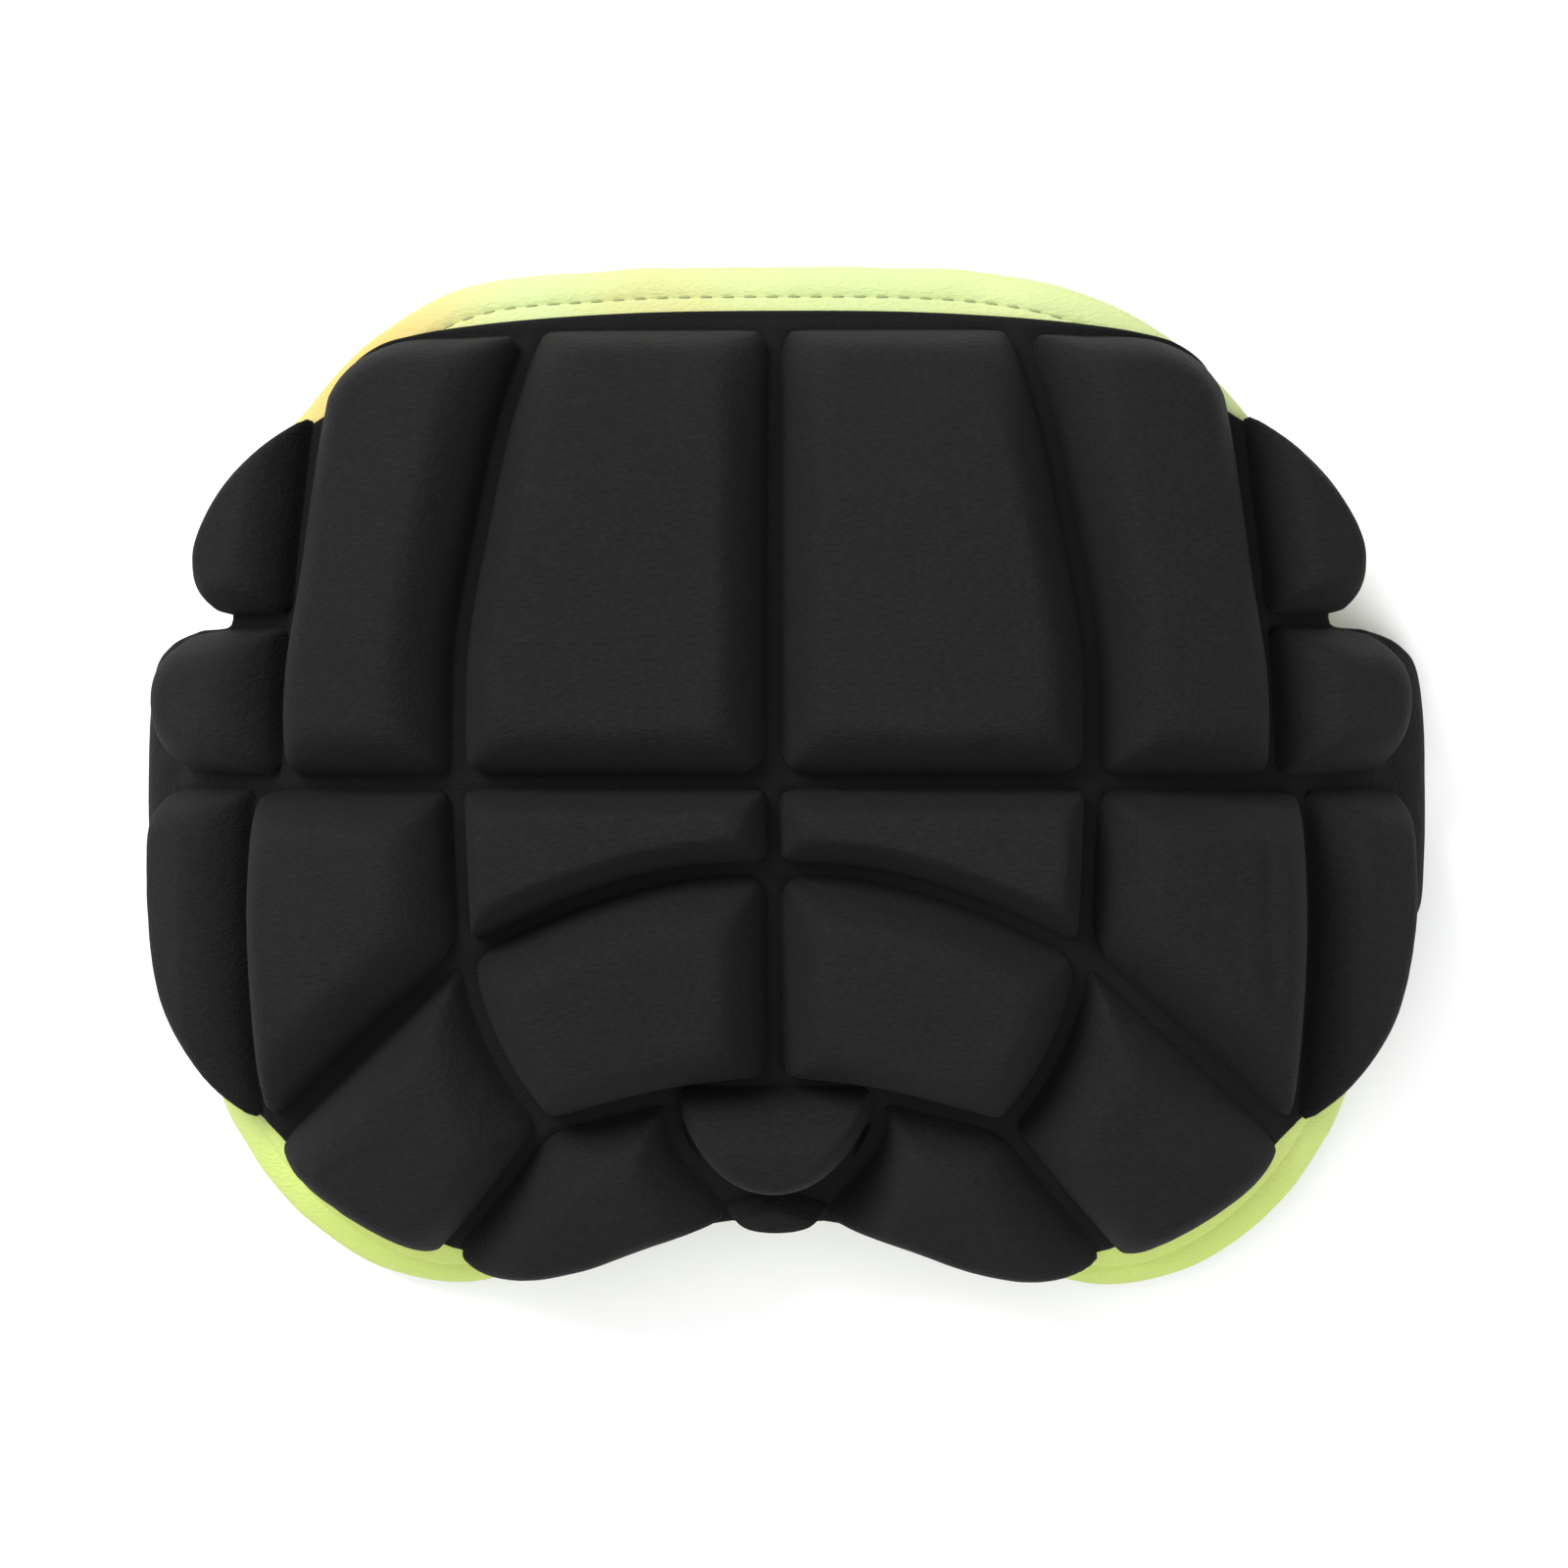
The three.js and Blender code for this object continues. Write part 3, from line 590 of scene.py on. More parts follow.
def black_cloth(context):
    """Fine black knit, paler where its fibres are rubbed, and darkened down in the grooves as painted shade
    """
    if "black knit" in bpy.data.materials:
        return bpy.data.materials["black knit"]
    made, tree, cloth, place = new_material("black knit")
    loops = knit(tree, place, 1250.0)
    fibres = noise_of(tree, place, 2600.0, 2.0, 0.6)
    mottle = noise_of(tree, stretched(tree, place, (0.6, 1.0, 1.0)), 110.0, 5.0, 0.65)
    broad = noise_of(tree, place, 14.0, 2.0, 0.5)
    raised = math_of(tree, "MULTIPLY", loops, 0.45)
    raised = math_of(tree, "ADD", raised, math_of(tree, "MULTIPLY", fibres, 0.25))
    patches = [ramp(tree, spots, 0.3, 0.8) for spots in (mottle, broad)]
    patch = math_of(tree, "ADD", *patches)
    share = math_of(tree, "MULTIPLY", patch, 0.22)
    share = math_of(tree, "ADD", share, raised)
    tone = mixed(tree, share, colour(context, "black"), colour(context, "worn"))
    # Painted shade: each point's stored share turns the cloth to the darker groove colour down in the
    # grooves
    unshaded = node_of(tree, "ShaderNodeAttribute", "Fac", {}, attribute_name="unshaded")
    unshaded_cloth = ramp(tree, unshaded, 0.0, 0.6)
    uneven = {"Value": mottle, "To Min": 0.80, "To Max": 0.95}
    weave = bump(tree, loops, 0.00014)
    fuzz = bump(tree, fibres, 0.00006, weave)
    set_inputs(tree, cloth, {
        "Base Color": mixed(tree, unshaded_cloth, colour(context, "groove"), tone),
        "Roughness": node_of(tree, "ShaderNodeMapRange", "Result", uneven),
        "Sheen Weight": 0.012,
        "Sheen Roughness": 0.5,
        "Specular IOR Level": 0.12,
        "Normal": bump(tree, mottle, 0.0004, fuzz),
    })
    return made


def lime_cloth(context):
    """Pale lime knit, warmer in patches, with painted shade in amber at the left end of the waist, and
    greener towards the seat
    """
    if "lime knit" in bpy.data.materials:
        return bpy.data.materials["lime knit"]
    made, tree, cloth, place = new_material("lime knit")
    loops = knit(tree, place, 1400.0)
    broad = noise_of(tree, place, 16.0, 3.0, 0.5)
    parts = tree.nodes.new("ShaderNodeSeparateXYZ")
    set_inputs(tree, parts, {"Vector": place})
    seat = ramp(tree, math_of(tree, "MULTIPLY", parts.outputs["Y"], -1.0), 0.02, 0.12)
    base = mixed(tree, seat, colour(context, "lime"), colour(context, "green"))
    warm = math_of(tree, "MULTIPLY", ramp(tree, broad, 0.5, 0.8), 0.4)
    base = mixed(tree, warm, base, colour(context, "amber_and_shade"))
    # Painted shade: the lime at the left end of the waist edge is turned amber where shade falls
    side = ramp(tree, math_of(tree, "MULTIPLY", parts.outputs["X"], -1.0), 0.06, 0.10)
    waist = math_of(tree, "MULTIPLY", side, ramp(tree, parts.outputs["Y"], 0.06, 0.1))
    base = mixed(tree, math_of(tree, "MULTIPLY", waist, 0.9), base, colour(context, "amber_and_shade"))
    deep = tuple(0.8 * c for c in colour(context, "lime")[:3]) + (1.0,)
    thin = math_of(tree, "MULTIPLY", loops, -0.2)
    thin = math_of(tree, "ADD", thin, 0.2)
    set_inputs(tree, cloth, {
        "Base Color": mixed(tree, thin, base, deep),
        "Roughness": 0.75,
        "Sheen Weight": 0.08,
        "Sheen Roughness": 0.4,
        "Specular IOR Level": 0.25,
        "Normal": bump(tree, loops, 0.0001),
    })
    return made


def sewing_thread(context):
    """Dull green twisted thread"""
    if "sewing thread" in bpy.data.materials:
        return bpy.data.materials["sewing thread"]
    made, tree, cloth, place = new_material("sewing thread")
    wave = {"Vector": place, "Scale": 900.0, "Distortion": 1.0}
    strands = node_of(tree, "ShaderNodeTexWave", "Fac", wave, bands_direction="DIAGONAL")
    dark = tuple(0.6 * c for c in colour(context, "thread")[:3]) + (1.0,)
    set_inputs(tree, cloth, {
        "Base Color": mixed(tree, strands, dark, colour(context, "thread")),
        "Roughness": 0.55,
        "Normal": bump(tree, strands, 0.00008),
    })
    return made


def floor_paint(context):
    """Matt pale studio floor with a barely seen unevenness"""
    made, tree, paint, place = new_material("studio floor")
    patch = noise_of(tree, place, 3.0, 2.0, 0.5)
    pale = colour(context, "floor")
    dull = tuple(0.985 * c for c in pale[:3]) + (1.0,)
    set_inputs(tree, paint, {"Base Color": mixed(tree, patch, dull, pale), "Roughness": 0.9})
    return made


# Foam blocks
AROUND = 192
RING_COUNT = 26
RING_CROWDING = 1.5

# Corners are squarer with a higher rounding, and the shoulder is fuller with a higher curve
FOOT_ROUNDING = 7
WALL_ROUNDING = 3.6
WALL_CURVE = 1.85

# The widest shoulder as a share of a block's half width, and the flare's reach and start
WALL_DEEP = 0.85
FOOT_FLARE = 0.2
FLARE_START = 0.35

# In millimetres: how far a block's foot and underside lie below its base, how far it stays from the
# sheet's own edge, and how near that edge has to be
FOOT_SUNK = 0.7
FOOT_DEEP = 1.3
OUTER_INSET = 0.6
OUTER_NEAR = 5.0

# Unevenness of the moulded cloth: its rise in millimetres, and how close its lumps lie
LUMPS = (0.35, 0.045)
DIMPLES = (0.10, 0.22)

# Beside each crease the cloth rises in a lip: its distance in crease widths, and its share of the depth
LIP_AWAY = 2.2
LIP_SHARE = 0.4

# Soft creases in the moulded cloth: which block, from and to as shares like POINTS, depth and width
# in millimetres
CREASES = {
    "hip_r": (((0.628, -0.10), (0.634, -0.36), 0.8, 1.8),),
    "thigh_l": (
        ((-0.62, -0.66), (-0.52, -0.575), 0.30, 1.3),
        ((-0.64, -0.70), (-0.53, -0.62), 0.25, 1.2),
        ((-0.60, -0.74), (-0.51, -0.69), 0.20, 1.2),
    ),
    "thigh_r": (((0.60, -0.70), (0.50, -0.64), 0.22, 1.4),),
    "wing_r": (((0.70, 0.60), (0.77, 0.50), 0.20, 1.2),),
}


def crease_depth(name, flat):
    depth = np.zeros(len(flat))
    for start, end, deep, wide in CREASES.get(name, ()):
        line = spline(np.stack([flat_points([start])[0], flat_points([end])[0]]), False, 6)
        away = distance_to(flat, line[:-1], line[1:])
        fold = np.exp(-((away / wide) ** 2))
        lips = np.exp(-(((away - LIP_AWAY * wide) / wide) ** 2))
        depth += deep * fold - LIP_SHARE * deep * lips
    return depth


def inset_runs(outline, groove):
    """A block's sides, held in by half a groove, or hardly at all along the sheet's own edge"""
    edge = whole_edge(SHEET_EDGE, EDGE_POINTS)
    runs = side_runs(outline)
    for run in runs:
        away = distance_to(run["line"], edge, np.roll(edge, -1, 0)).mean()
        run["inset"] = OUTER_INSET if away < OUTER_NEAR else groove / 2
    return runs


def soft_distance(points, runs):
    """Distance in from a block's sides, rounded off where two sides meet"""
    total = np.zeros(len(points))
    for run in runs:
        away = distance_to(points, run["line"][:-1], run["line"][1:]) - run["inset"]
        total += np.maximum(away, LEAST_CLEAR) ** -WALL_ROUNDING
    return total ** (-1 / WALL_ROUNDING)


def wall_rise(away, shoulder):
    """Share of a block's height at a distance in from its foot: a small flare, then a round wall"""
    share = np.clip(away / shoulder, 0, 1)
    flare = np.clip(share / FOOT_FLARE, 0, 1)
    flare = flare * flare * (3 - 2 * flare)
    return (1 - (1 - share) ** WALL_CURVE) * (FLARE_START + (1 - FLARE_START) * flare)


def foam_block(context, name, row, outline, ridge, nodes):
    """One moulded block: a soft foot, a steep wall, a wide round shoulder and a low crown"""
    foam = row["foam"] * size(context, "foam")
    base = size(context, "backing_wall") + SEAT_GAP
    runs = inset_runs(outline, size(context, "groove"))
    start, ray = ridge_rays(ridge, runs, FOOT_ROUNDING, AROUND)
    foot = start + ray * ray_reach(start, ray, runs, FOOT_ROUNDING)[:, None]
    middle = ridge.mean(0)
    rings = []
    for share in np.linspace(0, 1, RING_COUNT, endpoint=False) ** RING_CROWDING:
        centre = middle + (start - middle) * (1 - share)
        rings.append(foot * (1 - share) + centre * share)
    top = np.concatenate([*rings, [middle]])
    away = soft_distance(top, runs)
    deepest = away.max()
    shoulder = min(row["shoulder"] * size(context, "shoulder"), WALL_DEEP * deepest)
    rise = wall_rise(away, shoulder)
    crown = size(context, "crown") * (1 - (1 - np.clip(away / deepest, 0, 1)) ** 2)
    lift = base - FOOT_SUNK + rise * (foam + FOOT_SUNK) + crown * rise
    lumps = LUMPS[0] * wavy(top, LUMPS[1], 3.0 * len(name))
    lift += rise * (lumps + DIMPLES[0] * wavy(top, DIMPLES[1], 7.0))
    lift -= rise * crease_depth(name, top)
    under = middle + (foot - middle) * 0.5
    flat = np.concatenate([under, foot, top, [middle]])
    low = np.full(2 * AROUND, base - FOOT_DEEP)
    lift = np.concatenate([low, lift, [base - FOOT_DEEP]])
    # Painted shade: the block's cloth darkens down its wall towards the foot and underside
    unshaded = np.concatenate([low * 0, rise, [0]])
    count = RING_COUNT + 2
    faces = ring_faces(count, AROUND, count * AROUND + 1, count * AROUND)
    made = add_piece(
        "foam_" + name, lifted(flat, lift), faces, flat, black_cloth(context), "black_knit", nodes, unshaded
    )


def paired_blocks(context, names):
    """The same block on both sides of the middle line"""
    for name in names:
        row = BLOCKS[name]
        right = block_outline(row, False)
        ridge = flat_points(row["ridge"])
        foam_block(context, name + "_r", row, right, ridge, [name + "_r"])
        foam_block(context, name + "_l", row, mirrored(right), mirrored(ridge), [name + "_l"])


def middle_block(context, name):
    row = MIDDLE_BLOCKS[name]
    foam_block(context, name, row, block_outline(row, True), flat_points(row["ridge"]), [name])


def groove_lines():
    """Every block's outline as short lines: the middles of the grooves"""
    starts, ends = [], []
    for table, middle in ((BLOCKS, False), (MIDDLE_BLOCKS, True)):
        for row in table.values():
            outline = block_outline(row, middle)
            for run in side_runs(outline):
                for side in (run["line"],) if middle else (run["line"], mirrored(run["line"])):
                    starts.append(side[:-1])
                    ends.append(side[1:])
    return np.concatenate(starts), np.concatenate(ends)


# Cut sheets: a grid's row step as a share of its point step, and shares of room beside a cut edge
ROW_SHARE = 0.866
GRID_ROOM = 0.6
ROW_ROOM = 0.8


def cut_points(outline, insets, fine, coarse, near):
    """Points of a flat cut: its edge, rows along the edge, and a grid that is finer where near() says"""
    low, high = outline.min(0), outline.max(0)
    ends = np.roll(outline, -1, 0)
    rows = [moved(outline, -inset) for inset in insets]

    def grid(step):
        xs = np.arange(low[0], high[0], step)
        ys = np.arange(low[1], high[1], step * ROW_SHARE)
        return np.array([(x + (k % 2) * step / 2, y) for k, y in enumerate(ys) for x in xs])

    small, large = grid(fine), grid(coarse)
    small, large = small[near(small)], large[~near(large)]
    inner = np.concatenate([small, large])
    inner = inner[within(inner, outline)]
    inner = inner[distance_to(inner, outline, ends) > insets[-1] + GRID_ROOM * fine]
    for inset, row in zip(insets, rows):
        keep = within(row, outline)
        keep &= distance_to(row, outline, ends) > ROW_ROOM * inset
        inner = np.concatenate([inner, row[keep]])
    return np.concatenate([outline, inner])


def cut_faces(points, edge_count):
    """Triangles of a flat cut, inside its edge alone"""
    found = delaunay_2d_cdt(
        [tuple(p) for p in points], [], [list(range(edge_count))], 1, 1e-5, True
    )
    flat = np.array([tuple(p) for p in found[0]])
    faces = np.array([tuple(f) for f in found[2]])
    inside = within(flat[faces].mean(1), points[:edge_count])
    return flat, [tuple(f) for f in faces[inside].tolist()]


def two_sided(flat, faces, top, bottom):
    """A closed sheet: the same cut above and below, joined round its edge"""
    count = len(flat)
    edges = {(a, b) for f in faces for a, b in zip(f, f[1:] + f[:1])}
    walls = [(b, a, a + count, b + count) for a, b in edges if (b, a) not in edges]
    under = [tuple(count + i for i in reversed(f)) for f in faces]
    points = np.concatenate([lifted(flat, top), lifted(flat, bottom)])
    return points, list(faces) + under + walls, np.concatenate([flat, flat])


def rounded_edge(away, radius):
    """How far a sheet's face falls back at its rounded edge"""
    inside = np.clip(away / radius, 0, 1)
    return radius * (1 - np.sqrt(np.maximum(1 - (1 - inside) ** 2, 0)))


# The black sheet: rows along its edge, its grid's steps, where its tabs start and how they fill out,
# how far from the grooves the painted shade in them reaches, its unevenness, and how a groove's floor
# swells
SHEET_INSETS = (0.25, 0.7, 1.3, 2.2)
FINE_STEP = 1.25
COARSE_STEP = 3.5
TAB_FROM = 0.9
TAB_RAMP = 0.06
PUFF_REACH = 7
PUFF_CURVE = 0.6
SHADE_REACH = 9
SHADE_FROM = 0.3
SHEET_WAVES = (0.18, 0.06)
SWELL_EDGE = 0.3
SWELL_END = 1.2
SHEET_UNDER = 0.02


class PAD_OT_backing(Operator):
    """Make the black sheet: groove floors between the blocks, and a padded tab at each flank"""

    bl_idname = "pad.backing"
    bl_label = "Black sheet"

    def execute(self, context):
        wall = size(context, "backing_wall")
        groove = size(context, "groove")
        outline = whole_edge(SHEET_EDGE, EDGE_POINTS)
        starts, ends = groove_lines()

        def near(points):
            return distance_to(points, starts, ends) < groove

        points = cut_points(outline, SHEET_INSETS, FINE_STEP, COARSE_STEP, near)
        flat, faces = cut_faces(points, len(outline))
        away = distance_to(flat, outline, np.roll(outline, -1, 0))
        beside = distance_to(flat, starts, ends) / (groove / 2 + SWELL_EDGE)
        swell = size(context, "groove_swell") * (1 - np.minimum(beside, SWELL_END) ** 2)
        tab = np.clip((np.abs(flat[:, 0]) / HALF_WRAP - TAB_FROM) / TAB_RAMP, 0, 1)
        puff = size(context, "tab_puff") * tab * np.clip(away / PUFF_REACH, 0, 1) ** PUFF_CURVE
        fall = rounded_edge(away, wall / 2)
        top = wall + swell + puff - fall + SHEET_WAVES[0] * wavy(flat, SHEET_WAVES[1], 5.0)
        # Painted shade: the sheet's cloth is darkened within a few millimetres of each groove
        clear = np.clip(distance_to(flat, starts, ends) / SHADE_REACH - SHADE_FROM, 0, 1)
        made = add_piece(
            "black_sheet", *two_sided(flat, faces, top, SHEET_UNDER + fall), black_cloth(context),
            "black_knit", ["backing"], np.concatenate([clear, clear]),
        )
        return {"FINISHED"}


# How far the lime edge stands out further at the left shoulder than at the right one, and where that
# starts and how fast it grows, across and along the sheet
SHOULDER_SLACK = 2.6
SHOULDER_FROM = (50, 68)
SHOULDER_RAMP = (25, 15)

# The lining: its tuck into the binding, rows along its edge, its grid's steps and where it is fine
LINING_TUCK = 0.8
LINING_INSETS = (0.6, 1.4)
LINING_STEPS = (2.2, 5.0)
LINING_FINE_FROM = 85
LINING_ROUNDING = 0.7
LINING_WAVES = (0.2, 0.05)


def lining_edges(context):
    """The binding's outer edge and the lining's edge inside it, point for point"""
    rim = whole_edge(RIM_EDGE, RIM_POINTS)
    share = np.clip((rim * (-1, 1) - SHOULDER_FROM) / SHOULDER_RAMP, 0, 1)
    rim = moved(rim, SHOULDER_SLACK * share.prod(1)[:, None])
    inner = moved(rim, -size(context, "binding_width"))
    return spline(rim, True, 10), spline(inner, True, 10)


class PAD_OT_lining(Operator):
    """Make the lime lining under the black sheet"""

    bl_idname = "pad.lining"
    bl_label = "Lime lining"

    def execute(self, context):
        wall = size(context, "lining_wall")
        _, inner = lining_edges(context)
        outline = moved(inner, LINING_TUCK)
        points = cut_points(outline, LINING_INSETS, *LINING_STEPS, lambda p: p[:, 1] > LINING_FINE_FROM)
        flat, faces = cut_faces(points, len(outline))
        away = distance_to(flat, outline, np.roll(outline, -1, 0))
        fall = rounded_edge(away, LINING_ROUNDING)
        soft = LINING_WAVES[0] * wavy(flat, LINING_WAVES[1], 9.0)
        made = add_piece(
            "lime_lining",
            *two_sided(flat, faces, -SEAT_GAP - fall, -SEAT_GAP - wall + fall + soft),
            lime_cloth(context), "lime_knit", ["lining"],
        )
        return {"FINISHED"}


def tape_place(outer, inner, width, out):
    """Flat places at one distance out from the lining's edge, all the way round"""
    return inner + (outer - inner) * (out / width)


# The tape: points round its section and how square that is, where and how far a stitch pulls it in,
# and its slack, which shows past these distances from the lining
TAPE_SIDES = 22
TAPE_SQUARE = 0.8
STITCH_PULL = 0.35
SEWN_AT = 0.6
SEWN_REACH = 1.8
TAPE_SLACK = 0.25
SLACK_OUT = 5
SLACK_UP = 3


class PAD_OT_binding(Operator):
    """Make the rolled lime tape round the lining's edge, drawn in a little by each stitch"""

    bl_idname = "pad.binding"
    bl_label = "Edge binding"

    def execute(self, context):
        width = size(context, "binding_width")
        wall = size(context, "binding_wall")
        pitch = size(context, "stitch_pitch")
        outer, inner = lining_edges(context)
        count = len(outer)
        run = np.concatenate([[0], np.cumsum(np.linalg.norm(np.diff(inner, axis=0), axis=1))])
        drawn = 0.5 + 0.5 * np.cos(2 * math.pi * run / pitch)
        slack = np.array([noise.noise((s * 0.07, 0.0, 4.0)) for s in run])
        rings, lifts = [], []
        for k in range(TAPE_SIDES):
            turn = 2 * math.pi * k / TAPE_SIDES
            across, up = math.cos(turn), math.sin(turn)
            across = math.copysign(abs(across) ** TAPE_SQUARE, across)
            up = math.copysign(abs(up) ** TAPE_SQUARE, up)
            out = width / 2 + across * width / 2
            sewn = max(0.0, 1 - abs(out - SEWN_AT) / SEWN_REACH)
            lift = -SEAT_GAP - wall / 2 + up * wall / 2
            reach = np.full((count, 1), out) + TAPE_SLACK * slack[:, None] * (out > SLACK_OUT)
            rings.append(tape_place(outer, inner, width, reach))
            pulled = math.copysign(STITCH_PULL, up) * sewn * (0.5 + 0.5 * drawn)
            lifts.append(lift - pulled + TAPE_SLACK * slack * (out > SLACK_UP))
        flat = np.concatenate(rings)
        faces = []
        for k in range(TAPE_SIDES):
            for i in range(count):
                j = (i + 1) % count
                a, b = k * count, (k + 1) % TAPE_SIDES * count
                faces.append((a + i, a + j, b + j, b + i))
        made = add_piece(
            "lime_binding", lifted(flat, np.concatenate(lifts)), faces, flat, lime_cloth(context),
            "lime_knit", ["edge_binding"],
        )
        return {"FINISHED"}


# On the face, a fold hides the stitches of the seat corners past this distance along the sheet
STITCHED_TO = 78.0

# A stitch's distance from the lining's edge, its line's parts in one pitch, and in millimetres how its
# thread sinks into the tape, and dips at both ends
STITCH_PLACE = 0.5
STITCH_PARTS = 24
THREAD_SUNK = 0.12
THREAD_DIP = 0.25


class PAD_OT_stitches(Operator):
    """Sew the binding down: a row of short stitches on its face and on its back"""

    bl_idname = "pad.stitches"
    bl_label = "Stitches"

    def execute(self, context):
        width = size(context, "binding_width")
        wall = size(context, "binding_wall")
        pitch = size(context, "stitch_pitch")
        long = size(context, "stitch_length")
        thick = size(context, "thread")
        outer, inner = lining_edges(context)
        line = tape_place(outer, inner, width, STITCH_PLACE)
        count = round(np.linalg.norm(np.roll(line, -1, 0) - line, axis=1).sum() / pitch)
        line = spaced(line, count * STITCH_PARTS)
        steps, sides = 7, 8
        points, faces, flats = [], [], []
        for face, lift in ((1, -SEAT_GAP - THREAD_SUNK), (-1, -SEAT_GAP - wall + THREAD_SUNK)):
            for s in range(count):
                half = long / pitch * STITCH_PARTS / 2
                index = s * STITCH_PARTS + np.linspace(-half, half, steps)
                index = np.round(index).astype(int) % len(line)
                flat = line[index]
                if face > 0 and flat[0, 1] < -STITCHED_TO:
                    continue
                along = flat[-1] - flat[0]
                along /= np.linalg.norm(along)
                beside = np.array([along[1], -along[0]])
                first = sum(len(p) for p in points)
                for k in range(steps):
                    swell = math.sqrt(max(0.04, 1 - (2 * k / (steps - 1) - 1) ** 4)) * thick / 2
                    dip = THREAD_DIP * (2 * k / (steps - 1) - 1) ** 4
                    turn = np.arange(sides) / sides * 2 * math.pi
                    ring = flat[k] + beside * (np.cos(turn) * swell)[:, None]
                    points.append(lifted(ring, lift + np.sin(turn) * swell - face * dip))
                    flats.append(ring)
                for k in range(steps - 1):
                    for i in range(sides):
                        j = (i + 1) % sides
                        a = first + k * sides
                        faces.append((a + i, a + sides + i, a + sides + j, a + j))
                faces.append(tuple(first + i for i in range(sides)))
                faces.append(tuple(first + (steps - 1) * sides + i for i in reversed(range(sides))))
        add_piece(
            "binding_stitches", np.concatenate(points), faces, np.concatenate(flats),
            sewing_thread(context), "lime_knit",
        )
        return {"FINISHED"}


class PAD_OT_waist_blocks(Operator):
    """Make the blocks above the waist groove"""

    bl_idname = "pad.waist_blocks"
    bl_label = "Blocks above the waist groove"

    def execute(self, context):
        paired_blocks(context, ("upper_inner", "upper_outer", "wing"))
        return {"FINISHED"}


class PAD_OT_flank_blocks(Operator):
    """Make the blocks at the flanks and over the hips"""

    bl_idname = "pad.flank_blocks"
    bl_label = "Flank and hip blocks"

    def execute(self, context):
        paired_blocks(context, ("side_knob", "side_strip", "hip"))
        return {"FINISHED"}


class PAD_OT_seat_blocks(Operator):
    """Make the blocks below the waist groove"""

    bl_idname = "pad.seat_blocks"
    bl_label = "Blocks below the waist groove"

    def execute(self, context):
        paired_blocks(context, ("band", "sacrum", "thigh", "lobe"))
        return {"FINISHED"}


class PAD_OT_tail_blocks(Operator):
    """Make the dome over the tailbone and the small lip under it"""

    bl_idname = "pad.tail_blocks"
    bl_label = "Tailbone dome and lip"

    def execute(self, context):
        middle_block(context, "tailbone_dome")
        middle_block(context, "tail_lip")
        return {"FINISHED"}


# Stage
CAMERA_FAR = 1.5
CAMERA_YAW = math.radians(2.5)
CAMERA_LENS = 138.8
CAMERA_AIM = (0.0, -0.0014)
FLOOR_REACH = 6.0
FLOOR_DROP = 0.0002
WORLD_GLOW = 0.54

LIGHTS = (
    # name, place, width, watts, colour
    ("key", (-1.2, 1.3, 1.7), 1.4, 80.0, (1.0, 0.99, 0.97)),
    ("fill", (0.9, -1.1, 1.8), 1.8, 30.0, (0.97, 0.98, 1.0)),
    ("top", (-0.2, 0.2, 2.6), 2.2, 20.0, (1.0, 1.0, 1.0)),
)


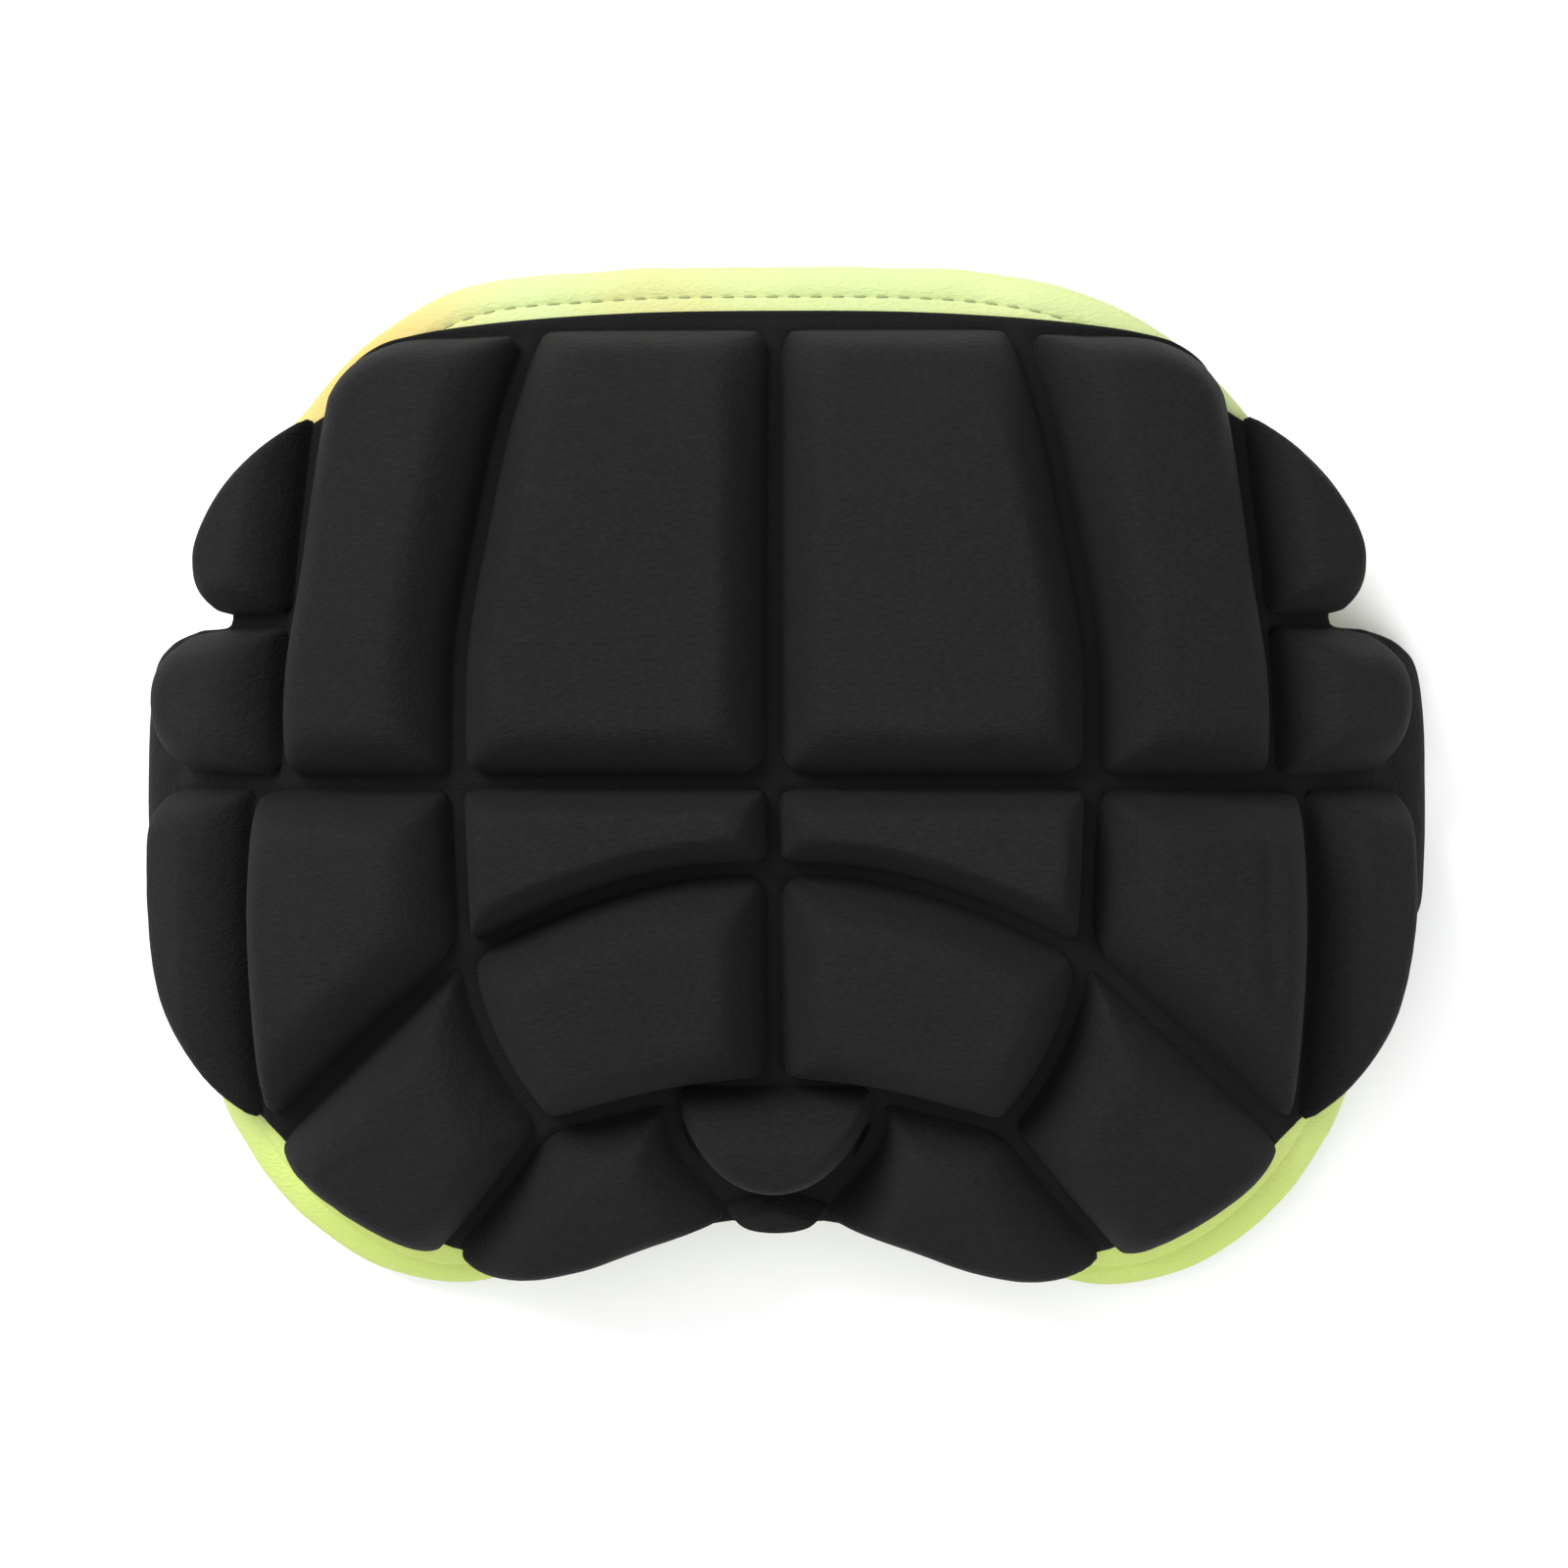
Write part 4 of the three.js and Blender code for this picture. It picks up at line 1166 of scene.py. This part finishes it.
class PAD_OT_stage(Operator):
    """Lay a pale floor, and set soft studio lights and a camera above the pad"""

    bl_idname = "pad.stage"
    bl_label = "Floor, lights and camera"

    def execute(self, context):
        mesh = bpy.data.meshes.new("floor")
        corners = ((-1, -1), (1, -1), (1, 1), (-1, 1))
        mesh.from_pydata([(FLOOR_REACH * x, FLOOR_REACH * y, 0) for x, y in corners], [], [(0, 1, 2, 3)])
        mesh.materials.append(floor_paint(context))
        floor = add_object("floor", mesh)
        floor.location.z = -FLOOR_DROP
        for name, place, wide, watts, tint in LIGHTS:
            lamp = bpy.data.lights.new(name, "AREA")
            lamp.shape = "DISK"
            lamp.size = wide
            lamp.energy = watts
            lamp.color = tint
            stand = add_object(name, lamp)
            stand.location = place
            stand.rotation_euler = (-stand.location).to_track_quat("-Z", "Y").to_euler()
        world = bpy.data.worlds.new("studio")
        world.use_nodes = True
        glow = world.node_tree.nodes["Background"]
        glow.inputs["Color"].default_value = (1.0, 1.0, 1.0, 1.0)
        glow.inputs["Strength"].default_value = WORLD_GLOW
        context.scene.world = world
        context.scene.view_settings.view_transform = "Standard"
        lens = bpy.data.cameras.new("camera")
        lens.lens = CAMERA_LENS
        lens.clip_end = 50.0
        camera = add_object("camera", lens)
        camera.location = (
            CAMERA_FAR * math.sin(CAMERA_YAW) + CAMERA_AIM[0],
            CAMERA_AIM[1],
            CAMERA_FAR * math.cos(CAMERA_YAW),
        )
        camera.rotation_euler = (0.0, CAMERA_YAW, 0.0)
        context.scene.camera = camera
        return {"FINISHED"}


OPERATORS = (
    PAD_OT_stage,
    PAD_OT_backing,
    PAD_OT_lining,
    PAD_OT_binding,
    PAD_OT_stitches,
    PAD_OT_waist_blocks,
    PAD_OT_flank_blocks,
    PAD_OT_seat_blocks,
    PAD_OT_tail_blocks,
)


class PAD_PT_panel(Panel):
    """The pad's sizes and colours, and a button for each group of pieces"""

    bl_idname = "PAD_PT_panel"
    bl_label = "Tailbone pad"
    bl_space_type = "VIEW_3D"
    bl_region_type = "UI"
    bl_category = "Pad"

    def draw(self, context):
        for group in (context.scene.pad_sizes, context.scene.pad_colours):
            column = self.layout.column(align=True)
            for name in group.bl_rna.properties.keys():
                if name not in ("rna_type", "name"):
                    column.prop(group, name)
        for operator in OPERATORS:
            self.layout.operator(operator.bl_idname)


CLASSES = (PadSizes, PadColours, *OPERATORS, PAD_PT_panel)


def register():
    for cls in CLASSES:
        bpy.utils.register_class(cls)
    bpy.types.Scene.pad_sizes = bpy.props.PointerProperty(type=PadSizes)
    bpy.types.Scene.pad_colours = bpy.props.PointerProperty(type=PadColours)


def unregister():
    del bpy.types.Scene.pad_colours
    del bpy.types.Scene.pad_sizes
    for cls in reversed(CLASSES):
        bpy.utils.unregister_class(cls)


def main():
    register()
    bpy.ops.pad.stage()
    bpy.ops.pad.backing()
    bpy.ops.pad.lining()
    bpy.ops.pad.binding()
    bpy.ops.pad.stitches()
    bpy.ops.pad.waist_blocks()
    bpy.ops.pad.flank_blocks()
    bpy.ops.pad.seat_blocks()
    bpy.ops.pad.tail_blocks()


if __name__ == "__main__":
    main()
